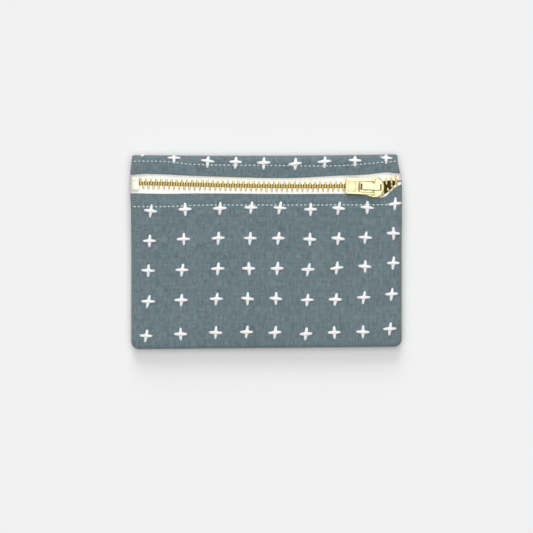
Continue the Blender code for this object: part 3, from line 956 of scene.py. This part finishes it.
def make_slider():
    """The slider: two plates joined by a wedge, rails down its sides and a crown on top."""
    finish = brass("slider_brass", settings().slider_colour, 0.16)
    reach = 1.5 * MM
    bm = bmesh.new()
    gather(bm, slab(slider_outline(), CHAIN_Z + reach, PLATE_TOP, 0.32 * MM))
    gather(bm, slab(slider_outline(), BODY_LOW.z, CHAIN_Z - reach, 0.32 * MM))
    cap = arc((1.3 * MM, 0), 3.75 * MM, 4.8 * MM, 75, -75, 16)
    gather(bm, slab(cap, PLATE_TOP - 0.2 * MM, PLATE_TOP + 0.07 * MM, 0.2 * MM))
    wedge = [(1.3 * MM, 0.0)] + arc((3.6 * MM, 0), 1.5 * MM, 1.0 * MM, -80, 80, 8)
    gather(bm, slab(wedge, CHAIN_Z - reach - 0.1 * MM, CHAIN_Z + reach + 0.1 * MM, 0))
    for side in (-1, 1):
        rail = [(-7.2, 3.35), (-2.6, 3.35), (0.3, 4.75), (3.6, 4.75)]
        rail += [(2.6, 5.05), (-1.2, 5.0), (-4.4, 4.2), (-7.2, 4.15)]
        for low, high in ((0.6, 1.6), (-1.6, -0.6)):
            outline = [(x * MM, side * y * MM) for x, y in rail]
            gather(bm, slab(outline, CHAIN_Z + low * MM, CHAIN_Z + high * MM, 0.1 * MM, 1))
        lug = arc((0.2 * MM, side * 4.7 * MM), 1.25 * MM, 0.5 * MM, 0, 350, 14)
        gather(bm, slab(lug, PLATE_TOP - 0.2 * MM, PLATE_TOP + 0.5 * MM, 0.3 * MM))
    bmesh.ops.transform(bm, matrix=slider_frame(), verts=bm.verts)
    body = solid("slider_shell", bm, finish, "slider", sharp=35)
    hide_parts("slider_body")
    return [body, make_crown(finish)]


def make_crown(finish):
    """The bridge over the pull's bar: a strap with rounded shoulders, bent down at both ends."""
    rear, front, rise, wall = -6.9 * MM, 4.2 * MM, 2.85 * MM, 0.8 * MM
    foot, bend = -0.1 * MM, 1.3 * MM
    outer = [(rear, foot)] + arc((rear + bend, rise - bend), bend, bend, 180, 90, 7)
    outer += arc((front - bend, rise - bend), bend, bend, 90, 0, 7) + [(front, foot)]
    inner_bend = bend - wall
    inner = [(front - wall, foot)]
    inner += arc((front - bend, rise - bend), inner_bend, inner_bend, 0, 90, 4)
    inner += arc((rear + bend, rise - bend), inner_bend, inner_bend, 90, 180, 4) + [(rear + wall, foot)]
    middle = wall / 2

    def outside(place):
        return place.y > rise - middle or place.x < rear + middle or place.x > front - middle

    bm = slab(outer + inner, -1.75 * MM, 1.75 * MM, 0.5 * MM, 4, outside)
    upright = Matrix.Rotation(math.radians(90), 4, "X")
    place = slider_frame() @ Matrix.Translation((0, 0, PLATE_TOP)) @ upright
    bmesh.ops.transform(bm, matrix=place, verts=bm.verts)
    crown = solid("crown_bridge", bm, finish, "slider", sharp=35)
    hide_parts("slider_crown")
    return crown


def make_pull():
    """The slotted pull tab: two arms on a round bar, and a flat end with a raised field."""
    far, half, thick = -14.5 * MM, 4.1 * MM, 1.0 * MM
    slot_end, slot_half, end = -7.7 * MM, 2.75 * MM, 0.75 * MM
    side = arc((far + 1.1 * MM, half - 1.1 * MM), 1.1 * MM, 1.1 * MM, 180, 90, 6)
    side += arc((end - 0.5 * MM, half - 0.5 * MM), 0.5 * MM, 0.5 * MM, 90, 0, 4)
    side += [(end, slot_half)]
    side += arc((slot_end + 0.8 * MM, slot_half - 0.8 * MM), 0.8 * MM, 0.8 * MM, 90, 180, 5)
    outline = side + [(x, -y) for x, y in reversed(side)]
    low = HINGE.z - thick / 2
    bm = bmesh.new()
    gather(bm, slab(outline, low, low + thick, 0.26 * MM))
    field = [(far + 1.0 * MM, -half + 1.2 * MM), (slot_end - 1.5 * MM, -half + 1.2 * MM)]
    field += [(x, -y) for x, y in reversed(field)]
    for height in (low - 0.05 * MM, low + thick - 0.15 * MM):
        gather(bm, slab(field, height, height + 0.2 * MM, 0.05 * MM, 2))
    bar = bmesh.new()
    length, radius = 2 * slot_half + 0.4 * MM, thick / 2
    bmesh.ops.create_cone(bar, cap_ends=True, segments=24, radius1=radius, radius2=radius, depth=length)
    gather(bm, bar, Matrix.Translation((0, 0, HINGE.z)) @ Matrix.Rotation(math.radians(90), 4, "X"))
    bmesh.ops.transform(bm, matrix=slider_frame(), verts=bm.verts)
    finish = brass("pull_brass", settings().slider_colour, 0.2)
    piece = solid("pull", bm, finish, "pull", sharp=35)
    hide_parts("pull_tab")
    return piece


# ------------------------------------------------------------------ linings and seams


def make_linings():
    """Two plain linings inside the pouch, each following its outer panel."""
    # The lining's dark brown is partly painted shade and reflection for the zip's open mouth.
    finish = plain_weave("lining_weave", settings().lining_and_mouth_shade_colour)
    made = []
    across = spaced(-1, 1, 0.04)

    def front(station, share):
        y = mix(bottom_edge(0) + 4 * MM, lower_hem(station * HALF_WIDTH) - 2.2 * MM, share)
        x = at_station(station, y, 3 * MM)
        sag = 2.3 * MM * swell(side_distance(x, y) - 3 * MM)
        return Vector((x, y, front_height(x, y) - 0.8 * MM - sag)), Vector((x, y, 0))

    def back(station, share):
        turn = 0.72
        if share <= turn:
            y = mix(bottom_edge(0) + 4 * MM, 42 * MM, share / turn)
            x = at_station(station, y, 3 * MM)
            return Vector((x, y, back_height(x, y) + 1.0 * MM)), Vector((x, y, 0))
        angle = math.pi * min(1.0, (share - turn) / 0.14)
        y = 42 * MM + 2.6 * MM * math.sin(angle) - 5 * MM * ease(0.86, 1, share)
        x = at_station(station, y, 3 * MM)
        low, high = back_height(x, 42 * MM) + 1.0 * MM, CHAIN_Z - zip_drop(x) - 0.7 * MM
        z = mix(low, high, (1 - math.cos(angle)) / 2)
        return Vector((x, y, z)), Vector((x, y + share * 20 * MM, 0))

    for name, place in (("front", front), ("back", back)):
        bm, _ = drape(across, spaced(0, 1, 0.02), place)
        piece = solid(f"{name}_lining_cloth", bm, finish)
        layer(piece, 0.35 * MM, 0.0)
        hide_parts(f"{name}_lining")
        made.append(piece)
    return made


def make_seam_threads():
    """The hidden threads that close the sides and the bottom."""
    finish = spun_thread("seam_thread", settings().thread_colour)
    made = []
    sides = {
        "left_side": [(left_edge(y) + 1.3 * MM, y) for y in spaced(-45 * MM, 45 * MM, 1.5 * MM)],
        "right_side": [(right_edge(y) - 1.3 * MM, y) for y in spaced(-45 * MM, 45 * MM, 1.5 * MM)],
        "bottom": [(x, bottom_edge(x) + 1.3 * MM) for x in spaced(-64 * MM, 64 * MM, 2 * MM)],
    }
    for name, line in sides.items():
        bm = bmesh.new()
        pattern = rod(len(line) - 1, 6)

        def shape(share, across, up):
            n = round(share * (len(line) - 1))
            x, y = line[n]
            off = Vector((across, 0, up)) if name != "bottom" else Vector((0, across, up))
            z = seam_height(y) - 1.4 * MM * zip_room(y)
            flat = Vector((across * 0.1 * MM, share * 0.1, up * 0.1 * MM))
            return Vector((x, y, z)) + off * 0.12 * MM, flat

        lay_rod(bm, pattern, shape)
        bpy.data.meshes.remove(pattern)
        piece = solid(f"{name}_seam_thread", bm, finish)
        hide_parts(f"{name}_seam")
        made.append(piece)
    return made


# ------------------------------------------------------------------ materials


class Graph:
    """Adds nodes to a tree and joins them."""

    def __init__(self, tree):
        self.tree = tree

    def add(self, kind, inputs=(), **values):
        node = self.tree.nodes.new(kind)
        for name, value in values.items():
            setattr(node, name, value)
        for key, value in dict(inputs).items():
            if isinstance(value, bpy.types.NodeSocket):
                self.tree.links.new(value, node.inputs[key])
            else:
                node.inputs[key].default_value = value
        return node

    def math(self, operation, *values):
        return self.add("ShaderNodeMath", enumerate(values), operation=operation).outputs[0]

    def blend(self, factor, a, b):
        """A colour between a and b."""
        inputs = {0: factor, 6: a, 7: b}
        return self.add("ShaderNodeMix", inputs, data_type="RGBA").outputs[2]

    def noise(self, vector, scale, detail=2.0):
        inputs = {"Vector": vector, "Scale": scale, "Detail": detail}
        return self.add("ShaderNodeTexNoise", inputs).outputs["Fac"]

    def span(self, value, low, high):
        """Maps 0..1 to low..high."""
        inputs = {0: value, 1: 0.0, 2: 1.0, 3: low, 4: high}
        return self.add("ShaderNodeMapRange", inputs).outputs[0]

    def stretch(self, vector, scale):
        return self.add("ShaderNodeMapping", {"Vector": vector, "Scale": scale}).outputs[0]

    def group(self, tree, inputs):
        return self.add("ShaderNodeGroup", inputs, node_tree=tree)

    def join(self, value, node, socket):
        self.tree.links.new(value, node.inputs[socket])


def rgba(colour):
    return (*colour, 1.0)


MADE = {}


def kept(make):
    """Makes each finish, and each node group, only once."""

    def once(*values):
        key = (make.__name__, *values[:1])
        if key not in MADE:
            MADE[key] = make(*values)
        return MADE[key]

    return once


def effect(name, inputs, outputs):
    """A shader node group's tree with named sockets, its graph and the nodes that hold its two ends."""
    tree = bpy.data.node_groups.new(name, "ShaderNodeTree")
    kinds = {"vector": "NodeSocketVector", "value": "NodeSocketFloat"}
    for socket, kind, default in inputs:
        made = tree.interface.new_socket(socket, in_out="INPUT", socket_type=kinds[kind])
        if default is not None:
            made.default_value = default
    for socket in outputs:
        tree.interface.new_socket(socket, in_out="OUTPUT", socket_type=kinds["value"])
    return tree, Graph(tree), tree.nodes.new("NodeGroupInput"), tree.nodes.new("NodeGroupOutput")


@kept
def weave_effect():
    """Threads crossing over and under: height, which thread is on top, and a shade for each thread."""
    inputs = (("Lay", "vector", None), ("Pitch", "value", 0.0004), ("Turn", "value", 1000.0))
    inputs += (("Repeat", "value", 4.0), ("Over", "value", 2.0))
    tree, graph, start, end = effect("Weave", inputs, ("Height", "Warp", "Shade"))
    lay = graph.add("ShaderNodeSeparateXYZ", {0: start.outputs["Lay"]})
    across = graph.math("DIVIDE", lay.outputs[0], start.outputs["Pitch"])
    along = graph.math("DIVIDE", lay.outputs[1], start.outputs["Pitch"])
    warp_number, weft_number = graph.math("FLOOR", across), graph.math("FLOOR", along)
    turned = graph.math("PINGPONG", warp_number, start.outputs["Turn"])
    diagonal = graph.math("ADD", turned, weft_number)
    place = graph.math("FLOORED_MODULO", diagonal, start.outputs["Repeat"])
    warp = graph.math("LESS_THAN", place, graph.math("SUBTRACT", start.outputs["Over"], 0.5))
    under = graph.math("SUBTRACT", start.outputs["Repeat"], start.outputs["Over"])

    def hump(share):
        return graph.math("SINE", graph.math("MULTIPLY", share, math.pi))

    def shade(number):
        return graph.add("ShaderNodeTexWhiteNoise", {"W": number}, noise_dimensions="1D").outputs["Value"]

    def pick(a, b):
        return graph.add("ShaderNodeMix", {0: warp, 2: a, 3: b}, data_type="FLOAT").outputs[0]

    down = graph.math("DIVIDE", graph.math("ADD", place, graph.math("FRACT", along)), start.outputs["Over"])
    reached = graph.math("ADD", place, graph.math("FRACT", across))
    past = graph.math("SUBTRACT", reached, start.outputs["Over"])
    length = hump(pick(graph.math("DIVIDE", past, under), down))
    width = hump(pick(graph.math("FRACT", along), graph.math("FRACT", across)))
    height = graph.math("MULTIPLY", width, graph.math("MULTIPLY_ADD", length, 0.5, 0.5))

    graph.join(height, end, "Height")
    graph.join(warp, end, "Warp")
    graph.join(pick(shade(graph.math("ADD", weft_number, 57.0)), shade(warp_number)), end, "Shade")
    return tree


@kept
def fading_effect():
    """Soft shading over a surface: broad fading, and small fibres or specks."""
    inputs = (("Lay", "vector", None), ("Broad", "value", 60.0), ("Fine", "value", 1500.0))
    tree, graph, start, end = effect("Fading", inputs, ("Fade", "Specks"))
    lay = start.outputs["Lay"]
    graph.join(graph.noise(lay, start.outputs["Broad"], 3.0), end, "Fade")
    graph.join(graph.noise(lay, start.outputs["Fine"], 3.0), end, "Specks")
    return tree


@kept
def twist_effect():
    """Strands twisted round a thread's length: height and a shade for each strand."""
    inputs = (("Lay", "vector", None), ("Strand", "value", 0.0003), ("Slant", "value", 0.35))
    tree, graph, start, end = effect("Twist", inputs, ("Height", "Shade"))
    lay = graph.add("ShaderNodeSeparateXYZ", {0: start.outputs["Lay"]})
    slanted = graph.math("MULTIPLY_ADD", lay.outputs[1], start.outputs["Slant"], lay.outputs[0])
    strand = graph.math("DIVIDE", slanted, start.outputs["Strand"])
    wave = graph.math("SINE", graph.math("MULTIPLY", graph.math("FRACT", strand), math.pi))
    number = graph.math("FLOOR", strand)
    shade = graph.add("ShaderNodeTexWhiteNoise", {"W": number}, noise_dimensions="1D").outputs["Value"]
    graph.join(wave, end, "Height")
    graph.join(shade, end, "Shade")
    return tree


def new_surface(name, **values):
    """A material with its graph and its Principled shader, whose uniform values are set on its sockets."""
    made = bpy.data.materials.new(name)
    made.use_nodes = True
    shader = made.node_tree.nodes["Principled BSDF"]
    for key, value in values.items():
        shader.inputs[key.replace("_", " ")].default_value = value
    return made, Graph(made.node_tree), shader


def laid(graph):
    return graph.add("ShaderNodeAttribute", attribute_name="lay").outputs["Vector"]


def bump(graph, shader, height, distance, strength=1.0):
    node = graph.add("ShaderNodeBump", {"Height": height, "Distance": distance, "Strength": strength})
    graph.join(node.outputs[0], shader, "Normal")


@kept
def twill():
    """Yarn-dyed cotton twill: slate warps, paler wefts and soft slubs."""
    made, graph, shader = new_surface("twill", Roughness=0.86, Sheen_Weight=0.25, Sheen_Roughness=0.5)
    lay = laid(graph)
    weave = graph.group(weave_effect(), {"Lay": lay, "Pitch": 0.34 * MM})
    fading = graph.group(fading_effect(), {"Lay": lay, "Broad": 55.0, "Fine": 1100.0})
    slubs = graph.noise(graph.stretch(lay, (1300, 220, 1)), 1.0, 1.0)
    bars = graph.noise(graph.stretch(lay, (220, 1300, 1)), 1.0, 1.0)
    patches = graph.noise(lay, 520.0, 1.0)
    value = graph.math("ADD", 0.52, graph.span(weave.outputs["Warp"], 0.1, -0.1))
    value = graph.math("ADD", value, graph.span(weave.outputs["Shade"], -0.1, 0.1))
    # Painted shade and light: the weave's hollows between threads are darker and the threads' crowns
    # lighter.
    value = graph.math("ADD", value, graph.span(weave.outputs["Height"], -0.16, 0.12))
    value = graph.math("ADD", value, graph.span(slubs, -0.42, 0.42))
    value = graph.math("ADD", value, graph.span(bars, -0.3, 0.3))
    value = graph.math("ADD", value, graph.span(fading.outputs["Specks"], -0.4, 0.4))
    value = graph.math("ADD", value, graph.span(fading.outputs["Fade"], -0.12, 0.12))
    chosen = settings()
    hue = graph.blend(graph.span(patches, -0.6, 1.6), rgba(chosen.cloth_colour), rgba(chosen.grey_colour))
    colour = graph.add("ShaderNodeHueSaturation", {"Value": graph.math("ADD", value, 0.45), "Color": hue})
    graph.join(colour.outputs[0], shader, "Base Color")
    height = graph.math("MULTIPLY_ADD", slubs, 0.6, weave.outputs["Height"])
    bump(graph, shader, height, 0.08 * MM, 0.8)
    return made


@kept
def plain_weave(name, colour):
    """Plain cotton with even threads."""
    made, graph, shader = new_surface(name, Roughness=0.9, Sheen_Weight=0.15)
    lay = laid(graph)
    weave = graph.group(weave_effect(), {"Lay": lay, "Pitch": 0.3 * MM, "Repeat": 2.0, "Over": 1.0})
    fading = graph.group(fading_effect(), {"Lay": lay, "Broad": 80.0, "Fine": 1800.0})
    shade = graph.math("MULTIPLY", weave.outputs["Shade"], fading.outputs["Fade"])
    darker = tuple(0.7 * part for part in colour)
    graph.join(graph.blend(shade, rgba(colour), rgba(darker)), shader, "Base Color")
    bump(graph, shader, weave.outputs["Height"], 0.05 * MM, 0.7)
    return made


@kept
def woven_tape():
    """White cotton tape in herringbone."""
    made, graph, shader = new_surface("tape_weave", Roughness=0.8, Sheen_Weight=0.1)
    lay = laid(graph)
    weave = graph.group(weave_effect(), {"Lay": lay, "Pitch": 0.3 * MM, "Turn": 6.0})
    fading = graph.group(fading_effect(), {"Lay": lay, "Broad": 90.0, "Fine": 1800.0})
    colour = settings().tape_colour
    shade = graph.math("MULTIPLY", weave.outputs["Shade"], fading.outputs["Specks"])
    darker = (0.80 * colour[0], 0.79 * colour[1], 0.74 * colour[2], 1.0)
    graph.join(graph.blend(shade, rgba(colour), darker), shader, "Base Color")
    bump(graph, shader, weave.outputs["Height"], 0.05 * MM, 0.7)
    return made


@kept
def spun_thread(name, colour):
    """Thread of twisted strands."""
    made, graph, shader = new_surface(name, Roughness=0.62, Sheen_Weight=0.2)
    lay = laid(graph)
    twist = graph.group(twist_effect(), {"Lay": lay, "Strand": 0.24 * MM, "Slant": 0.22})
    darker = tuple(0.86 * part for part in colour)
    shade = graph.math("MULTIPLY", twist.outputs["Shade"], 0.8)
    graph.join(graph.blend(shade, rgba(colour), rgba(darker)), shader, "Base Color")
    bump(graph, shader, twist.outputs["Height"], 0.06 * MM, 0.8)
    return made


@kept
def brass(name, colour, roughness):
    """Polished brass with faint casting grain, rubbed patches and painted shade that darkens it to brown in
    its crevices.
    """
    made, graph, shader = new_surface(name, Metallic=1.0)
    place = graph.add("ShaderNodeTexCoord").outputs["Object"]
    fading = graph.group(fading_effect(), {"Lay": place, "Broad": 350.0, "Fine": 2600.0})
    warmer = (colour[0] * 0.97, colour[1] * 0.92, colour[2] * 0.80, 1.0)
    # Painted shade: where ambient occlusion finds little open air, between teeth and round the crown, the
    # brass is darkened to brown.
    crevice_shade_colour = (colour[0] * 0.30, colour[1] * 0.19, colour[2] * 0.06, 1.0)
    shade = graph.span(fading.outputs["Fade"], -0.4, 1.2)
    clean = graph.blend(shade, rgba(colour), warmer)
    open_air = graph.add("ShaderNodeAmbientOcclusion", {"Distance": 1.6 * MM}, samples=8).outputs["AO"]
    painted_crevice_shade = graph.add("ShaderNodeMapRange", {0: open_air, 1: 0.1, 2: 0.5, 3: 0.0, 4: 1.0}).outputs[0]
    graph.join(graph.blend(painted_crevice_shade, crevice_shade_colour, clean), shader, "Base Color")
    rough = graph.span(fading.outputs["Specks"], roughness * 0.7, roughness * 1.5)
    graph.join(rough, shader, "Roughness")
    bump(graph, shader, fading.outputs["Specks"], 0.012 * MM, 0.6)
    return made


@kept
def spring_steel():
    """Drawn spring steel with fine lines along its length."""
    made, graph, shader = new_surface("spring_steel", Metallic=1.0)
    place = graph.add("ShaderNodeTexCoord").outputs["Object"]
    lines = graph.noise(graph.stretch(place, (200, 6000, 6000)), 1.0, 2.0)
    colour = graph.blend(lines, (0.62, 0.62, 0.61, 1), (0.48, 0.48, 0.47, 1))
    graph.join(colour, shader, "Base Color")
    graph.join(graph.span(lines, 0.25, 0.45), shader, "Roughness")
    return made


# ------------------------------------------------------------------ the stage


KEY = (1.62, 31.5, 35)  # strength, height above the horizon and spread in degrees
OVERHEAD = (1.35, 88, 60)
SKY_LOW = 0.06
SKY_RISE = 1.4
SKY_POWER = 6.0


def make_stage():
    scene = bpy.context.scene
    scene.view_settings.view_transform = "Standard"
    floor = bmesh.new()
    bmesh.ops.create_grid(floor, x_segments=1, y_segments=1, size=3)
    mesh = bpy.data.meshes.new("floor")
    floor.to_mesh(mesh)
    floor.free()
    paper = bpy.data.objects.new("floor", mesh)
    scene.collection.objects.link(paper)
    made, graph, shader = new_surface("paper", Roughness=0.95, Specular_IOR_Level=0.0)
    place = graph.add("ShaderNodeTexCoord").outputs["Object"]
    grain = graph.noise(place, 900.0, 2.0)
    colour = graph.blend(grain, (0.795, 0.795, 0.795, 1), (0.803, 0.803, 0.803, 1))
    graph.join(colour, shader, "Base Color")
    mesh.materials.append(made)

    world = bpy.data.worlds.new("studio")
    world.use_nodes = True
    scene.world = world
    sky = Graph(world.node_tree)
    direction = sky.add("ShaderNodeTexCoord").outputs["Generated"]
    part = sky.add("ShaderNodeSeparateXYZ", {0: direction})
    height = sky.math("POWER", sky.math("MAXIMUM", part.outputs[2], 0.0), SKY_POWER)
    glow = sky.math("MULTIPLY_ADD", height, SKY_RISE, SKY_LOW)
    background = world.node_tree.nodes["Background"]
    background.inputs["Color"].default_value = (1, 1, 1, 1)
    sky.join(glow, background, "Strength")

    for name, strength, rise, spread in (("key", *KEY), ("overhead", *OVERHEAD)):
        light = bpy.data.lights.new(name, "SUN")
        light.energy = strength
        light.angle = math.radians(spread)
        lamp = bpy.data.objects.new(name, light)
        scene.collection.objects.link(lamp)
        rise = math.radians(rise)
        towards = Vector((-0.06 * math.cos(rise), math.cos(rise), math.sin(rise)))
        lamp.rotation_mode = "QUATERNION"
        lamp.rotation_quaternion = towards.to_track_quat("Z", "Y")
        lamp.visible_glossy = name == "key"

    lens = bpy.data.cameras.new("camera")
    lens.sensor_width = 36
    lens.lens = 200
    view_width = 275.6 * MM
    focus = Vector((0, -7.6 * MM, 6 * MM))
    camera = bpy.data.objects.new("camera", lens)
    camera.location = focus + Vector((0, 0, view_width * lens.lens / lens.sensor_width))
    scene.collection.objects.link(camera)
    scene.camera = camera


# ------------------------------------------------------------------ the add-on


class POUCH_OT_stage(bpy.types.Operator):
    """Make the floor, the light and the camera"""

    bl_idname = "pouch.stage"
    bl_label = "Stage"

    def execute(self, context):
        make_stage()
        return {"FINISHED"}


class POUCH_OT_panels(bpy.types.Operator):
    """Make the two outer panels of twill, with their hems and tucked seams"""

    bl_idname = "pouch.panels"
    bl_label = "Outer Panels"

    def execute(self, context):
        front = make_front()
        wrap = make_wrap()
        return {"FINISHED"}


class POUCH_OT_linings(bpy.types.Operator):
    """Make the two linings and the threads of the hidden seams"""

    bl_idname = "pouch.linings"
    bl_label = "Linings and Seams"

    def execute(self, context):
        front, back = make_linings()
        make_seam_threads()
        return {"FINISHED"}


class POUCH_OT_zip(bpy.types.Operator):
    """Make the zip's tapes, teeth and stops"""

    bl_idname = "pouch.zip"
    bl_label = "Zip"

    def execute(self, context):
        for piece in make_tapes():
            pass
        make_teeth()
        make_stops()
        return {"FINISHED"}


class POUCH_OT_slider(bpy.types.Operator):
    """Make the slider with its crown, and finish the lock pin under it"""

    bl_idname = "pouch.slider"
    bl_label = "Slider"

    def execute(self, context):
        make_slider()
        pin = frame["nodes"]["lock_pin"]
        pin.data.materials.clear()
        pin.data.materials.append(spring_steel())
        return {"FINISHED"}


class POUCH_OT_pull(bpy.types.Operator):
    """Make the pull tab and its hinge bar"""

    bl_idname = "pouch.pull"
    bl_label = "Pull Tab"

    def execute(self, context):
        make_pull()
        return {"FINISHED"}


class POUCH_OT_topstitches(bpy.types.Operator):
    """Make the two rows of topstitches"""

    bl_idname = "pouch.topstitches"
    bl_label = "Topstitches"

    def execute(self, context):
        make_topstitches()
        return {"FINISHED"}


class POUCH_OT_crosses(bpy.types.Operator):
    """Make the embroidered crosses on the front, the strip and the back"""

    bl_idname = "pouch.crosses"
    bl_label = "Embroidered Crosses"

    def execute(self, context):
        make_crosses()
        return {"FINISHED"}


OPERATORS = (
    POUCH_OT_stage,
    POUCH_OT_panels,
    POUCH_OT_linings,
    POUCH_OT_zip,
    POUCH_OT_slider,
    POUCH_OT_pull,
    POUCH_OT_topstitches,
    POUCH_OT_crosses,
)


class POUCH_PT_panel(bpy.types.Panel):
    """The pouch's settings and pieces"""

    bl_label = "Zippered Pouch"
    bl_idname = "POUCH_PT_panel"
    bl_space_type = "VIEW_3D"
    bl_region_type = "UI"
    bl_category = "Pouch"

    def draw(self, context):
        for name in PouchSettings.__annotations__:
            self.layout.prop(context.scene.pouch_settings, name)
        for operator in OPERATORS:
            self.layout.operator(operator.bl_idname)


CLASSES = (PouchSettings, *OPERATORS, POUCH_PT_panel)


def register():
    for kind in CLASSES:
        bpy.utils.register_class(kind)
    bpy.types.Scene.pouch_settings = bpy.props.PointerProperty(type=PouchSettings)


def unregister():
    del bpy.types.Scene.pouch_settings
    for kind in reversed(CLASSES):
        bpy.utils.unregister_class(kind)


def main():
    register()
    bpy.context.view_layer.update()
    bpy.ops.pouch.stage()
    bpy.ops.pouch.panels()
    bpy.ops.pouch.linings()
    bpy.ops.pouch.zip()
    bpy.ops.pouch.slider()
    bpy.ops.pouch.pull()
    bpy.ops.pouch.topstitches()
    bpy.ops.pouch.crosses()


if __name__ == "__main__":
    main()
